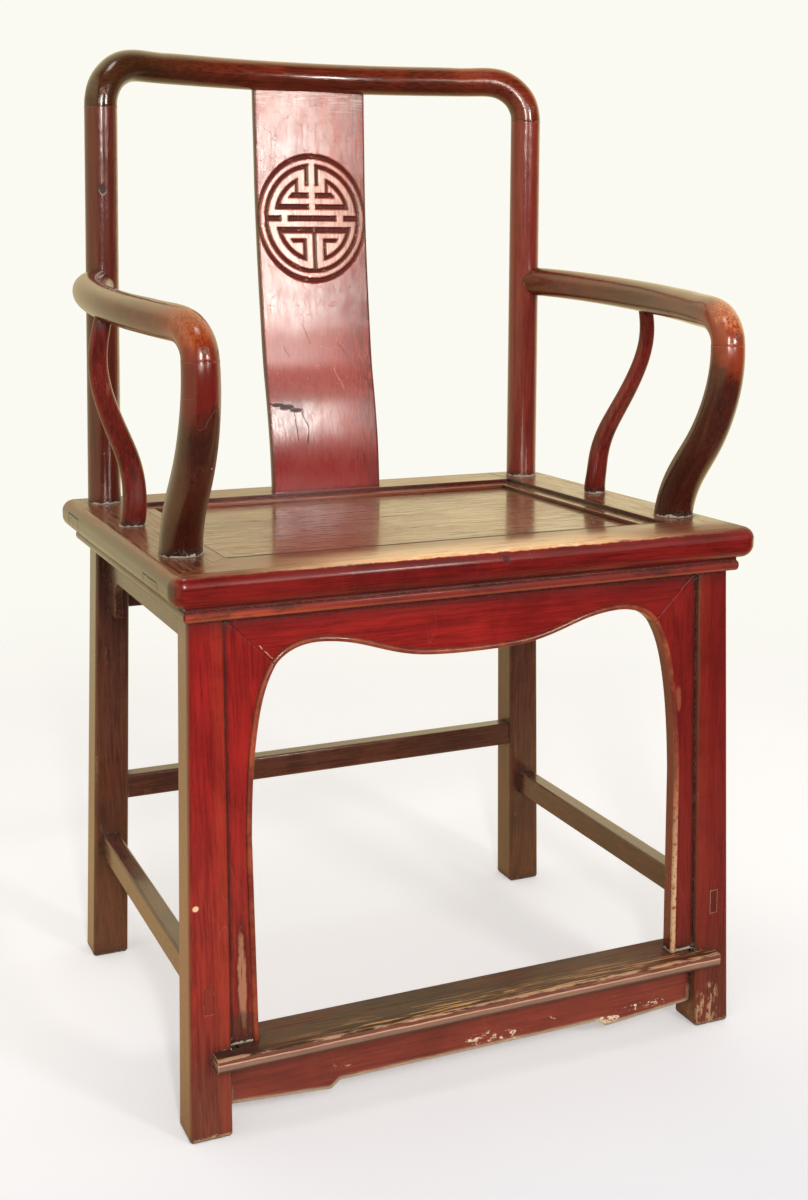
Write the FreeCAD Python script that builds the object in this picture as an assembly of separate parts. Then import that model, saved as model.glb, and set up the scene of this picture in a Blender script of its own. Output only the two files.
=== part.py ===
import FreeCAD, Part
import math
import os

# A low-backed armchair of lacquered elm, built from pegged and tenoned pieces.
# Millimetres. The chair stands on z = 0 and faces -y; +x is to the right as it is looked at
# from the front, and "left" and "right" in the names are meant that way too.
# The origin is on the floor under the middle of the whole chair.

os.makedirs("parts", exist_ok=True)
V = FreeCAD.Vector

# Whole chair
seat_width = 567.0
seat_depth = 452.0
seat_height = 510.0
overall_height = 960.0

# Seat frame: four mitred rails with a rounded nose, a cove and a small bead under it
rail_width = 65.0
rail_thickness = 42.0
nose_height = 28.5
nose_round = 9.5
nose_widest_share = 0.48
bead_height = 9.5
cove_setback = 15.0
bead_setback = 12.5
seat_corner_radius = 14.0
rail_tenon_width = 24.0
rail_tenon_thickness = 13.0
rail_tenon_rise = 16.5

# Seat panel: three planks, tongued into the rails, under four thin cover strips
panel_drop = 7.5
panel_thickness = 14.0
tongue_thickness = 7.0
tongue_drop = 4.5
tongue_length = 6.0
strip_width = 16.0
strip_thickness = 4.0
strip_edge_radius = 0.8
plank_joint_shares = (0.31, 0.66)

# Battens that run front to back under the planks in dovetail grooves
batten_width = 30.0
batten_depth = 18.0
dovetail_top = 24.0
dovetail_neck = 18.0
dovetail_height = 5.0
batten_tenon_length = 10.0
batten_tenon_width = 20.0
batten_tenon_height = 9.0

# Front legs: square, tapered and splayed; the insets are of the outer faces at the top
front_leg_foot = 39.0
front_leg_top = 31.5
front_leg_inset_side = 18.0
front_leg_inset_front = 23.5
front_splay_side = 16.0
front_splay_front = 12.5
front_tenon_size = 20.0
front_tenon_length = 15.0
leg_corner_radius = 4.0
foot_round = 3.5

# Rear legs and the round back posts above them are one timber each
rear_leg_foot = 38.5
rear_leg_top = 35.0
rear_leg_inset_side = 24.5
rear_leg_inset_rear = 24.0
rear_splay_side = 20.5
rear_splay_rear = 23.5
neck_size = 24.0
post_inset_side = 38.4
post_inset_rear = 43.3
post_foot_diameter = 34.0
post_top_diameter = 32.0
post_lean_in = 11.3
post_lean_forward = 20.0
post_tenon_diameter = 15.0
post_tenon_length = 26.0

# Crest rail: bowed backwards, its ends turned down over the posts
crest_diameter = 30.0
crest_bow = 52.0
crest_corner = 40.0
crest_drop = 42.0

# Back splat: a thin board with a gentle double curve
splat_width = 125.0
splat_thickness = 9.0
splat_foot_inset = 53.0
splat_top_housing = 9.0
splat_foot_tenon = 14.0
splat_edge_radius = 1.2

# Armrests: bowed outwards, let into the posts, turned down over the front arm posts
arm_diameter = 30.6
arm_bow = 34.5
arm_rear_rise = 223.0
arm_front_rise = 194.0
arm_corner_run = 38.0
arm_corner_drop = 25.0
arm_dowel_diameter = 12.0
arm_dowel_length = 13.0

# Front arm posts: curved forward from the side rails
arm_post_inset_side = 34.3
arm_post_back = 95.5
arm_post_forward = 79.5
arm_post_foot_diameter = 38.0
arm_post_top_diameter = 31.0
arm_post_foot_tenon_diameter = 18.0
arm_post_foot_tenon_length = 18.0
arm_post_top_tenon_diameter = 14.0
arm_post_top_tenon_length = 16.0

# Side supports: flattened S-shaped bars between the side rails and the armrests, their
# flat sides turned a little towards the front
support_inset_side = 29.5
support_back = 254.0
support_forward = 46.0
support_bulge = 19.0
support_foot_width = 24.0
support_top_width = 15.0
support_turn_degrees = 15.0
support_flat_share = 0.64
support_corner_share = 0.42
support_tenon_diameter = 9.0
support_foot_tenon_length = 14.0
support_top_tenon_length = 7.0

# Arched front apron: a top board and two upright strips, mitred together
apron_setback = 6.5
apron_thickness = 13.0
apron_tongue_thickness = 5.0
apron_tongue_depth = 5.0
arch_end_inset = 69.0
arch_top_drop = 30.5
arch_middle_drop = 54.0
arch_corner_in = 26.5
arch_corner_drop = 46.0

# Side and rear aprons: plain boards with an ear at each end
board_apron_thickness = 8.0
board_apron_drop = 33.0
board_apron_inset = 16.0
rear_apron_inset = 34.5
ear_length = 40.0
ear_drop = 72.0
ear_radius = 18.0

# Foot rest and the small apron under it
foot_rest_height = 83.0
foot_rest_thickness = 14.0
foot_rest_overhang = 3.0
foot_rest_depth = 53.5
foot_rest_end_inset = 25.0
foot_rest_nose_radius = 4.5
foot_rest_tenon_length = 12.0
foot_rest_tenon_width = 16.0
foot_rest_tenon_thickness = 9.0
foot_apron_setback = 11.5
foot_apron_thickness = 11.0
foot_apron_end_height = 25.5
foot_apron_cusp_height = 16.5
foot_apron_middle_height = 23.5
foot_apron_cusp_inset = 138.5
foot_apron_step = 9.0

# Stretchers
side_stretcher_top = 145.0
side_stretcher_height = 26.5
side_stretcher_width = 18.0
side_stretcher_inset = 12.5
side_tenon_width = 8.5
side_tenon_side_offset = 0.8
rear_stretcher_top = 208.0
rear_stretcher_height = 26.5
rear_stretcher_depth = 20.0
rear_stretcher_setback = 4.0
rear_tenon_length = 20.0
rear_tenon_thickness = 9.0
stretcher_edge_radius = 2.5

# Pegs through the four turned-down joints
peg_diameter = 5.0

# Cuts run past the faces they open by this much
overrun = 2.0

# The battens stand at this share of the panel's half width
batten_place_share = 0.5

# Shares of the splat's height and of its backward travel
splat_profile_shares = (
    (0.00, 0.00),
    (0.07, 0.03),
    (0.14, 0.11),
    (0.215, 0.26),
    (0.285, 0.44),
    (0.36, 0.58),
    (0.43, 0.68),
    (0.57, 0.84),
    (0.71, 0.945),
    (0.86, 0.99),
    (1.00, 1.00),
)

# Shares of the armrest's length, from the back post forwards, and of its outward bow
arm_bow_shares = (
    (0.00, 0.00),
    (0.07, 0.43),
    (0.15, 0.71),
    (0.24, 0.89),
    (0.33, 0.975),
    (0.43, 1.00),
    (0.54, 0.95),
    (0.64, 0.83),
    (0.74, 0.63),
    (0.83, 0.41),
    (0.91, 0.20),
    (1.00, 0.00),
)

# Shares of the front arm post's height and of its forward travel
arm_post_shares = (
    (0.00, 0.00),
    (0.12, 0.075),
    (0.24, 0.22),
    (0.36, 0.43),
    (0.48, 0.64),
    (0.60, 0.80),
    (0.72, 0.915),
    (0.84, 0.985),
    (1.00, 1.00),
)

# Shares of the support's height, of its forward travel and of its outward bulge
support_shares = (
    (0.00, 0.00, 0.00),
    (0.10, 0.12, -0.26),
    (0.20, 0.19, -0.35),
    (0.30, 0.26, -0.26),
    (0.40, 0.37, 0.03),
    (0.50, 0.50, 0.38),
    (0.60, 0.63, 0.66),
    (0.70, 0.76, 0.80),
    (0.80, 0.88, 0.73),
    (0.90, 0.96, 0.44),
    (1.00, 1.00, 0.00),
)

# The arch from its middle to its corner: shares of the half width up to the corner, and of
# the rise from the middle cusp to the top of the lobe
arch_lobe_shares = (
    (0.00, 0.00),
    (0.17, 0.03),
    (0.32, 0.15),
    (0.47, 0.46),
    (0.62, 0.83),
    (0.74, 0.99),
    (0.83, 1.00),
    (0.92, 0.82),
)

# The strip's curved edge from the arch corner down: shares of the way out to the full
# half width and of the strip's curved height
strip_curve_shares = (
    (0.38, 0.14),
    (0.62, 0.30),
    (0.80, 0.50),
    (0.92, 0.72),
)
strip_curve_height = 150.0

# Derived places
half_width = seat_width / 2
arch_half_width = half_width - arch_end_inset
foot_rest_half_length = half_width - foot_rest_end_inset
foot_apron_cusp = half_width - foot_apron_cusp_inset
crest_overhang = crest_bow + crest_diameter / 2 - post_inset_rear - post_lean_forward
overall_depth = seat_depth + foot_rest_overhang + crest_overhang
foot_rest_front = -overall_depth / 2
rear_edge = overall_depth / 2 - crest_overhang
front_edge = rear_edge - seat_depth
middle_y = (rear_edge + front_edge) / 2
rail_bottom = seat_height - rail_thickness
inner_x = half_width - rail_width
inner_front = front_edge + rail_width
inner_rear = rear_edge - rail_width
panel_top = seat_height - panel_drop
panel_bottom = panel_top - panel_thickness
tongue_top = panel_top - tongue_drop
tongue_bottom = tongue_top - tongue_thickness
crest_z = overall_height - crest_diameter / 2
seam_z = crest_z - crest_drop
foot_rest_under = foot_rest_height - foot_rest_thickness
diagonal = math.sqrt(0.5)


def between(start, end, share):
    return start + (end - start) * share


def box(x0, x1, y0, y1, z0, z1):
    return Part.makeBox(x1 - x0, y1 - y0, z1 - z0, V(x0, y0, z0))


def mirrored(shape):
    return shape.mirror(V(0, 0, 0), V(1, 0, 0))


def prism(points, travel):
    corners = [V(*point) for point in points]
    return Part.Face(Part.makePolygon(corners + corners[:1])).extrude(travel)


def spline_through(points):
    curve = Part.BSplineCurve()
    curve.interpolate(points)
    return curve


def arc(start, middle, end):
    return Part.Arc(start, middle, end).toShape()


def line(start, end):
    return Part.makeLine(start, end)


def placed_section(wire, centre, direction, reference):
    """Turns a wire drawn round the origin on the xy plane square to a direction.

    The wire's own x axis is kept as near as it can be to the reference axis.
    """
    normal = V(direction).normalize()
    side = (reference - normal * normal.dot(reference)).normalize()
    up = normal.cross(side)
    moved = wire.copy()
    moved.Placement = FreeCAD.Placement(centre, FreeCAD.Rotation(side, up, normal, "XYZ"))
    return moved


def round_section(centre, direction, diameter, reference=V(1, 0, 0)):
    circle = Part.Wire(Part.makeCircle(diameter / 2))
    return placed_section(circle, centre, direction, reference)


def flat_circle(centre, diameter):
    return Part.Wire(Part.makeCircle(diameter / 2, centre))


def taper(low_centre, low_diameter, high_centre, high_diameter):
    """A round bar between two level circles, so that its ends seat flat."""
    wires = [flat_circle(low_centre, low_diameter), flat_circle(high_centre, high_diameter)]
    return Part.makeLoft(wires, True, True)


def square_wire(centre, size):
    half = size / 2
    corners = [
        centre + V(-half, -half, 0),
        centre + V(half, -half, 0),
        centre + V(half, half, 0),
        centre + V(-half, half, 0),
    ]
    return Part.makePolygon(corners + corners[:1])


def square_taper(low_centre, low_size, high_centre, high_size):
    wires = [square_wire(low_centre, low_size), square_wire(high_centre, high_size)]
    return Part.makeLoft(wires, True, True)


def bezier_point(points, t):
    a, b, c, d = points
    s = 1 - t
    return a * s**3 + b * 3 * s * s * t + c * 3 * s * t * t + d * t**3


def bezier_slope(points, t):
    a, b, c, d = points
    s = 1 - t
    return (b - a) * s * s + (c - b) * 2 * s * t + (d - c) * t * t


def corner_points(start, start_direction, end, end_direction, corner):
    """Control points of a round corner between two straight runs that meet at a point."""
    roundness = 0.56
    first = start + start_direction * (roundness * (corner - start).Length)
    second = end - end_direction * (roundness * (corner - end).Length)
    return start, first, second, end


def edges_along(shape, test):
    return [edge for edge in shape.Edges if test(edge)]


def round_upright_edges(shape, radius):
    def is_upright(edge):
        low, high = edge.Vertexes[0].Point, edge.Vertexes[-1].Point
        return abs(high.z - low.z) > (high - low).Length * diagonal
    return shape.makeFillet(radius, edges_along(shape, is_upright))


def round_foot(shape, radius):
    def is_at_floor(edge):
        return all(abs(vertex.Z) < radius / 4 for vertex in edge.Vertexes)
    return shape.makeFillet(radius, edges_along(shape, is_at_floor))


# Seat frame

def rail_profile():
    """The rail's end section: y runs inwards from the outermost line, z up from below."""
    widest = rail_thickness - nose_height * nose_widest_share
    under = rail_thickness - nose_height
    mid_run = nose_round * (1 - diagonal)
    high = widest + (rail_thickness - widest) * diagonal
    low = widest - (widest - under) * diagonal
    corner = [
        V(0, rail_width, 0),
        V(0, rail_width, rail_thickness),
        V(0, nose_round, rail_thickness),
        V(0, 0, widest),
        V(0, nose_round, under),
        V(0, cove_setback, under),
        V(0, cove_setback, bead_height),
        V(0, cove_setback, 0),
    ]
    edges = [
        line(corner[0], corner[1]),
        line(corner[1], corner[2]),
        arc(corner[2], V(0, mid_run, high), corner[3]),
        arc(corner[3], V(0, mid_run, low), corner[4]),
        line(corner[4], corner[5]),
        line(corner[5], corner[6]),
        arc(corner[6], V(0, bead_setback, bead_height / 2), corner[7]),
        line(corner[7], corner[0]),
    ]
    return Part.Face(Part.Wire(edges))


def mitred_plan(length, width, thickness):
    half = length / 2
    points = (
        (-half, 0, 0),
        (half, 0, 0),
        (half - width, width, 0),
        (-half + width, width, 0),
    )
    return prism(points, V(0, 0, thickness))


def corner_waste(length):
    """What rounding the seat's corner in plan takes off at the rail's right end."""
    radius = seat_corner_radius
    centre = V(length / 2 - radius, radius, 0)
    zone = box(0, overrun, 0, radius, 0, rail_thickness)
    edge = rail_profile().extrude(V(overrun, 0, 0)).common(zone)
    face = min(edge.Faces, key=lambda side: side.CenterOfMass.x)
    face.translate(V(centre.x, 0, 0))
    kept = face.revolve(centre, V(0, 0, 1), 360)
    block = box(centre.x, length / 2, 0, radius, 0, rail_thickness)
    return block.cut(kept)


def rail_blank(length):
    profile = rail_profile()
    profile.translate(V(-length / 2, 0, 0))
    bar = profile.extrude(V(length, 0, 0))
    bar = bar.common(mitred_plan(length, rail_width, rail_thickness))
    return bar.cut(corner_waste(length)).cut(mirrored(corner_waste(length)))


def on_four_sides(make, z, offset):
    """Places a front, rear, left and right copy, each with its outer line moved inwards."""
    turns = {
        "front": (seat_width, 0, V(0, front_edge + offset, z)),
        "rear": (seat_width, 180, V(0, rear_edge - offset, z)),
        "left": (seat_depth, -90, V(-half_width + offset, middle_y, z)),
        "right": (seat_depth, 90, V(half_width - offset, middle_y, z)),
    }
    copies = {}
    for side, (length, angle, place) in turns.items():
        copy = make(length - 2 * offset)
        copy.rotate(V(0, 0, 0), V(0, 0, 1), angle)
        copy.translate(place)
        copies[side] = copy
    return copies


def rail_tenon(side_rail, sign, inner_edge, inward):
    """The long rail's tenon: the part of the side rail that it runs through to its face."""
    ends = sorted((sign * inner_x, sign * (half_width + overrun)))
    edges = sorted((inner_edge, inner_edge - inward * rail_tenon_width))
    low = rail_bottom + rail_tenon_rise
    bar = box(ends[0], ends[1], edges[0], edges[1], low, low + rail_tenon_thickness)
    return side_rail.common(bar)


def panel_groove():
    reach = tongue_length
    return box(
        -inner_x - reach, inner_x + reach, inner_front - reach, inner_rear + reach,
        tongue_bottom, tongue_top,
    )


def seat_rails():
    rails = on_four_sides(rail_blank, rail_bottom, 0)
    for name, inner_edge, inward in (("front", inner_front, 1), ("rear", inner_rear, -1)):
        for side, sign in (("left", -1), ("right", 1)):
            tenon = rail_tenon(rails[side], sign, inner_edge, inward)
            rails[side] = rails[side].cut(tenon)
            rails[name] = rails[name].fuse(tenon)
    groove = panel_groove()
    return {side: rail.cut(groove) for side, rail in rails.items()}


# Seat panel, cover strips and battens

def seat_panel():
    field = box(-inner_x, inner_x, inner_front, inner_rear, panel_bottom, panel_top)
    panel = field.fuse(panel_groove())
    for batten_x in batten_places():
        panel = panel.cut(dovetail(batten_x))
    return panel


def seat_planks():
    panel = seat_panel()
    front = inner_front - tongue_length
    rear = inner_rear + tongue_length
    cuts = [front] + [between(front, rear, share) for share in plank_joint_shares] + [rear]
    reach = inner_x + tongue_length
    planks = []
    for start, end in zip(cuts, cuts[1:]):
        slab = box(-reach, reach, start, end, panel_bottom, panel_top)
        planks.append(panel.common(slab))
    return dict(zip(("front", "middle", "rear"), planks))


def cover_strip(length):
    strip = mitred_plan(length, strip_width, strip_thickness)

    def is_top_inner(edge):
        return all(
            abs(vertex.Z - strip_thickness) < overrun / 4
            and abs(vertex.Y - strip_width) < overrun / 4
            for vertex in edge.Vertexes
        )
    return strip.makeFillet(strip_edge_radius, edges_along(strip, is_top_inner))


def cover_strips():
    return on_four_sides(cover_strip, panel_top, rail_width)


def batten_places():
    place = inner_x * batten_place_share
    return (-place, place)


def dovetail(x):
    neck = dovetail_neck / 2
    top = dovetail_top / 2
    points = (
        (x - neck, inner_front, panel_bottom),
        (x + neck, inner_front, panel_bottom),
        (x + top, inner_front, panel_bottom + dovetail_height),
        (x - top, inner_front, panel_bottom + dovetail_height),
    )
    return prism(points, V(0, inner_rear - inner_front, 0))


def batten(x):
    half = batten_width / 2
    body = box(x - half, x + half, inner_front, inner_rear, panel_bottom - batten_depth, panel_bottom)
    return body.fuse(dovetail(x)).fuse(batten_tenons(x))


def batten_tenons(x):
    half = batten_tenon_width / 2
    top = panel_bottom - batten_depth / 4
    return box(
        x - half, x + half,
        inner_front - batten_tenon_length, inner_rear + batten_tenon_length,
        top - batten_tenon_height, top,
    )


# Legs and posts, all on the right side

def front_leg_centre(z):
    share = z / rail_bottom
    size = between(front_leg_foot, front_leg_top, share)
    outer_x = half_width - front_leg_inset_side + front_splay_side * (1 - share)
    outer_y = front_edge + front_leg_inset_front - front_splay_front * (1 - share)
    return V(outer_x - size / 2, outer_y + size / 2, z), size


def front_leg_body():
    low, low_size = front_leg_centre(0)
    high, high_size = front_leg_centre(rail_bottom)
    leg = square_taper(low, low_size, high, high_size)
    leg = round_upright_edges(leg, leg_corner_radius)
    return round_foot(leg, foot_round)


def front_leg_tenon():
    top, _ = front_leg_centre(rail_bottom)
    return square_taper(top, front_tenon_size, top + V(0, 0, front_tenon_length), front_tenon_size)


def rear_leg_centre(z):
    share = z / rail_bottom
    size = between(rear_leg_foot, rear_leg_top, share)
    outer_x = half_width - rear_leg_inset_side + rear_splay_side * (1 - share)
    outer_y = rear_edge - rear_leg_inset_rear + rear_splay_rear * (1 - share)
    return V(outer_x - size / 2, outer_y - size / 2, z), size


def post_axis(z):
    share = (z - seat_height) / (crest_z - seat_height)
    x = half_width - post_inset_side - post_lean_in * share
    y = rear_edge - post_inset_rear - post_lean_forward * share
    return V(x, y, z)


def rear_leg_body():
    low, low_size = rear_leg_centre(0)
    high, high_size = rear_leg_centre(rail_bottom)
    leg = square_taper(low, low_size, high, high_size)
    leg = round_upright_edges(leg, leg_corner_radius)
    return round_foot(leg, foot_round)


def rear_neck():
    low, _ = rear_leg_centre(rail_bottom)
    return square_taper(low, neck_size, post_axis(seat_height), neck_size)


def post_tenon():
    foot = post_axis(seam_z)
    return taper(foot, post_tenon_diameter, post_axis(seam_z + post_tenon_length), post_tenon_diameter)


def rear_post():
    post = taper(post_axis(seat_height), post_foot_diameter, post_axis(seam_z), post_top_diameter)
    return rear_leg_body().fuse([rear_neck(), post, post_tenon()]).removeSplitter()


# Crest rail

def crest_stations():
    """Points, directions and diameters from the crest's middle to the right seam."""
    corner = post_axis(crest_z)

    def bow_point(x):
        return V(x, corner.y + crest_bow * (1 - (x / corner.x) ** 2), crest_z)

    def bow_direction(x):
        return V(1, -2 * crest_bow * x / corner.x**2, 0).normalize()

    turn_x = corner.x - crest_corner
    down = (post_axis(seam_z) - corner).normalize()
    start = bow_point(turn_x)
    end = corner + down * crest_corner
    control = corner_points(start, bow_direction(turn_x), end, down, corner)
    stations = []
    for share in (0, 0.25, 0.5, 0.75):
        x = turn_x * share
        stations.append((bow_point(x), bow_direction(x), crest_diameter))
    for share in (0, 0.2, 0.4, 0.6, 0.8, 1):
        size = between(crest_diameter, post_top_diameter, share)
        stations.append((bezier_point(control, share), bezier_slope(control, share), size))
    stations.append((post_axis(seam_z), V(0, 0, -1), post_top_diameter))
    return stations


def crest_blank():
    right = crest_stations()
    left = []
    for point, direction, size in reversed(right[1:]):
        flipped = V(direction.x, -direction.y, -direction.z)
        left.append((V(-point.x, point.y, point.z), flipped, size))
    upright = V(0, 1, 0)
    sections = [round_section(*station, upright) for station in left + right]
    return Part.makeLoft(sections, True, False)


# Back splat

def splat_line(shift):
    """The splat's side outline, from the seat up into its groove in the crest rail."""
    foot_y = rear_edge - splat_foot_inset
    top_y = post_axis(crest_z).y + crest_bow - splat_thickness / 2
    top_z = crest_z - crest_diameter / 2
    points = []
    for height_share, travel_share in splat_profile_shares:
        z = between(seat_height, top_z, height_share)
        points.append(V(-splat_width / 2, between(foot_y, top_y, travel_share) + shift, z))
    points.append(points[-1] + V(0, 0, splat_top_housing))
    return points


def splat_body():
    front = splat_line(0)
    rear = splat_line(splat_thickness)
    edges = [
        spline_through(front).toShape(),
        line(front[-1], rear[-1]),
        spline_through(rear).toShape(),
        line(rear[0], front[0]),
    ]
    board = Part.Face(Part.Wire(Part.sortEdges(edges)[0])).extrude(V(splat_width, 0, 0))

    def is_long(edge):
        low, high = edge.Vertexes[0].Point, edge.Vertexes[-1].Point
        return abs(high.z - low.z) > splat_width
    return board.makeFillet(splat_edge_radius, edges_along(board, is_long))


def splat_tenon():
    half = splat_width / 2 - splat_thickness
    foot = splat_line(0)[0]
    return box(-half, half, foot.y, foot.y + splat_thickness, foot.z - splat_foot_tenon, foot.z)


# Armrests and their posts, all on the right side

def arm_corner():
    y = front_edge + arm_post_back - arm_post_forward
    return V(half_width - arm_post_inset_side, y, seat_height + arm_front_rise)


def arm_points():
    start = post_axis(seat_height + arm_rear_rise)
    end = arm_corner()
    points = []
    for length_share, bow_share in arm_bow_shares:
        point = between(start, end, length_share)
        points.append(point + V(arm_bow * bow_share, 0, 0))
    return points


def arm_curve():
    return spline_through(arm_points())


def arm_parameter_at(curve, y):
    """The place along the armrest's curve that has a given y, found by halving."""
    low, high = curve.FirstParameter, curve.LastParameter
    for _ in range(40):
        middle = (low + high) / 2
        if curve.value(middle).y > y:
            low = middle
        else:
            high = middle
    return middle


def arm_turn():
    """Control points of the armrest's corner, from the arm round and down to the post."""
    curve = arm_curve()
    corner = arm_corner()
    turn = arm_parameter_at(curve, corner.y + arm_corner_run)
    start = curve.value(turn)
    forward = V(*curve.tangent(turn)[0])
    if forward.y > 0:
        forward = forward * -1
    end = corner - V(0, 0, arm_corner_drop)
    return turn, corner_points(start, forward, end, V(0, 0, -1), corner)


def arm_blank():
    curve = arm_curve()
    turn, control = arm_turn()
    sections = []
    first = curve.FirstParameter
    steps = 9
    for step in range(steps):
        parameter = between(first, turn, step / steps)
        direction = V(*curve.tangent(parameter)[0])
        if direction.y > 0:
            direction = direction * -1
        sections.append(round_section(curve.value(parameter), direction, arm_diameter))
    for share in (0, 0.2, 0.4, 0.6, 0.8):
        direction = bezier_slope(control, share)
        sections.append(round_section(bezier_point(control, share), direction, arm_diameter))
    sections.append(round_section(control[3], V(0, 0, -1), arm_post_top_diameter))
    return Part.makeLoft(sections, True, False)


def arm_dowel():
    """A dowel along the armrest's line that pins its scribed end into the back post."""
    curve = arm_curve()
    centre = curve.value(curve.FirstParameter)
    ahead = curve.value(arm_parameter_at(curve, centre.y - arm_diameter))
    along = (ahead - centre).normalize()
    depth = post_foot_diameter / 2 - arm_dowel_length
    start = centre + along * depth
    return Part.makeCylinder(arm_dowel_diameter / 2, 2 * arm_dowel_length, start, along)


def arm_post_points():
    top = arm_corner() - V(0, 0, arm_corner_drop)
    foot = V(top.x, top.y + arm_post_forward, seat_height)
    points = []
    for height_share, forward_share in arm_post_shares:
        y = between(foot.y, top.y, forward_share)
        points.append(V(top.x, y, between(foot.z, top.z, height_share)))
    return points


def arm_post_body():
    points = arm_post_points()
    curve = spline_through(points)
    sections = []
    for point in points:
        share = (point.z - points[0].z) / (points[-1].z - points[0].z)
        direction = V(*curve.tangent(curve.parameter(point))[0])
        if direction.z < 0:
            direction = direction * -1
        if point is points[0] or point is points[-1]:
            direction = V(0, 0, 1)
        size = between(arm_post_foot_diameter, arm_post_top_diameter, share)
        sections.append(round_section(point, direction, size))
    return Part.makeLoft(sections, True, False)


def arm_post_tenons():
    points = arm_post_points()
    foot, top = points[0], points[-1]
    low = Part.makeCylinder(arm_post_foot_tenon_diameter / 2, arm_post_foot_tenon_length,
                            foot - V(0, 0, arm_post_foot_tenon_length))
    high = Part.makeCylinder(arm_post_top_tenon_diameter / 2, arm_post_top_tenon_length, top)
    return low, high


# Side supports, on the right side

def support_ends():
    foot = V(half_width - support_inset_side, front_edge + support_back, seat_height)
    curve = arm_curve()
    top = curve.value(arm_parameter_at(curve, foot.y - support_forward))
    return foot, top


def soft_square(width, depth):
    """A rectangle with rounded corners round the origin, for the flattened bars."""
    half_w, half_d = width / 2, depth / 2
    radius = min(width, depth) * support_corner_share
    bend = radius * (1 - diagonal)
    inner_w, inner_d = half_w - radius, half_d - radius
    edges = []
    turns = ((1, 1), (-1, 1), (-1, -1), (1, -1))
    for index, (sx, sy) in enumerate(turns):
        side = V(sx * half_w, sy * inner_d, 0)
        end = V(sx * inner_w, sy * half_d, 0)
        middle = V(sx * (half_w - bend), sy * (half_d - bend), 0)
        next_sx, next_sy = turns[(index + 1) % len(turns)]
        if sx * sy > 0:
            start, stop = side, end
            follow = V(next_sx * inner_w, next_sy * half_d, 0)
        else:
            start, stop = end, side
            follow = V(next_sx * half_w, next_sy * inner_d, 0)
        edges.append(arc(start, middle, stop))
        edges.append(line(stop, follow))
    return Part.Wire(edges)


def support_body():
    foot, top = support_ends()
    points = []
    for height_share, forward_share, bulge_share in support_shares:
        x = between(foot.x, top.x, height_share) + support_bulge * bulge_share
        y = between(foot.y, top.y, forward_share)
        points.append(V(x, y, between(foot.z, top.z, height_share)))
    curve = spline_through(points)
    across = FreeCAD.Rotation(V(0, 0, 1), support_turn_degrees).multVec(V(1, 0, 0))
    sections = []
    for index, point in enumerate(points):
        share = support_shares[index][0]
        direction = V(*curve.tangent(curve.parameter(point))[0])
        if direction.z < 0:
            direction = direction * -1
        if index == 0:
            direction = V(0, 0, 1)
        width = between(support_foot_width, support_top_width, share)
        section = soft_square(width, width * support_flat_share)
        sections.append(placed_section(section, point, direction, across))
    return Part.makeLoft(sections, True, False)


def support_tenons(arm):
    foot, top = support_ends()
    low = Part.makeCylinder(support_tenon_diameter / 2, support_foot_tenon_length,
                            foot - V(0, 0, support_foot_tenon_length))
    start = top - V(0, 0, arm_diameter / 2 + overrun)
    high = Part.makeCylinder(support_tenon_diameter / 2, support_top_tenon_length + overrun, start)
    return low, high.common(arm)


# Front apron

def apron_face(z):
    """How far forward the apron's face is at a height: it leans with the front legs."""
    centre, size = front_leg_centre(z)
    return centre.y - size / 2 + apron_setback


def leaned(shape):
    """Leans an upright board drawn with its face at y = 0 to the line of the front legs."""
    foot_y = apron_face(0)
    angle = math.degrees(math.atan((apron_face(rail_bottom) - foot_y) / rail_bottom))
    shape.rotate(V(0, 0, 0), V(1, 0, 0), -angle)
    shape.translate(V(0, foot_y, 0))
    return shape


def arch_corner_point():
    return V(arch_half_width - arch_corner_in, 0, rail_bottom - arch_corner_drop)


def arch_points():
    """The arched edge from the left corner over the middle to the right corner."""
    corner = arch_corner_point()
    middle = rail_bottom - arch_middle_drop
    rise = arch_middle_drop - arch_top_drop
    half = [V(corner.x * across, 0, middle + rise * up) for across, up in arch_lobe_shares]
    half.append(corner)
    left = [V(-point.x, 0, point.z) for point in reversed(half[1:])]
    return left + half


def strip_edge_points():
    """The strip's inner edge from the arch corner down to the foot rest, on the right."""
    corner = arch_corner_point()
    points = [corner]
    for out, down in strip_curve_shares:
        x = between(corner.x, arch_half_width, out)
        points.append(V(x, 0, corner.z - strip_curve_height * down))
    points.append(V(arch_half_width, 0, corner.z - strip_curve_height))
    return points


def apron_outline():
    points = arch_points()
    reach = half_width
    top = rail_bottom + rail_thickness
    rise = top - points[-1].z
    corners = [
        points[-1],
        points[-1] + V(rise, 0, rise),
        points[0] + V(-rise, 0, rise),
        points[0],
    ]
    edges = [spline_through(points).toShape()]
    edges += [line(corners[0], corners[1]), line(corners[1], corners[2]), line(corners[2], corners[3])]
    face = Part.Face(Part.Wire(Part.sortEdges(edges)[0]))
    return face.extrude(V(0, reach, 0))


def strip_outline():
    points = strip_edge_points()
    rise = rail_bottom + rail_thickness - points[0].z
    floor = V(arch_half_width, 0, -rail_thickness)
    corners = [
        points[-1],
        floor,
        V(half_width, 0, floor.z),
        V(half_width, 0, points[0].z + half_width - points[0].x),
        points[0] + V(rise, 0, rise),
        points[0],
    ]
    corners[3] = V(half_width, 0, corners[4].z)
    if corners[4].x > half_width:
        corners[3] = V(corners[4].x, 0, floor.z)
        del corners[2]
    edges = [spline_through(points).toShape()]
    edges += [line(start, end) for start, end in zip(corners, corners[1:])]
    face = Part.Face(Part.Wire(Part.sortEdges(edges)[0]))
    return face.extrude(V(0, half_width, 0))


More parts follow.
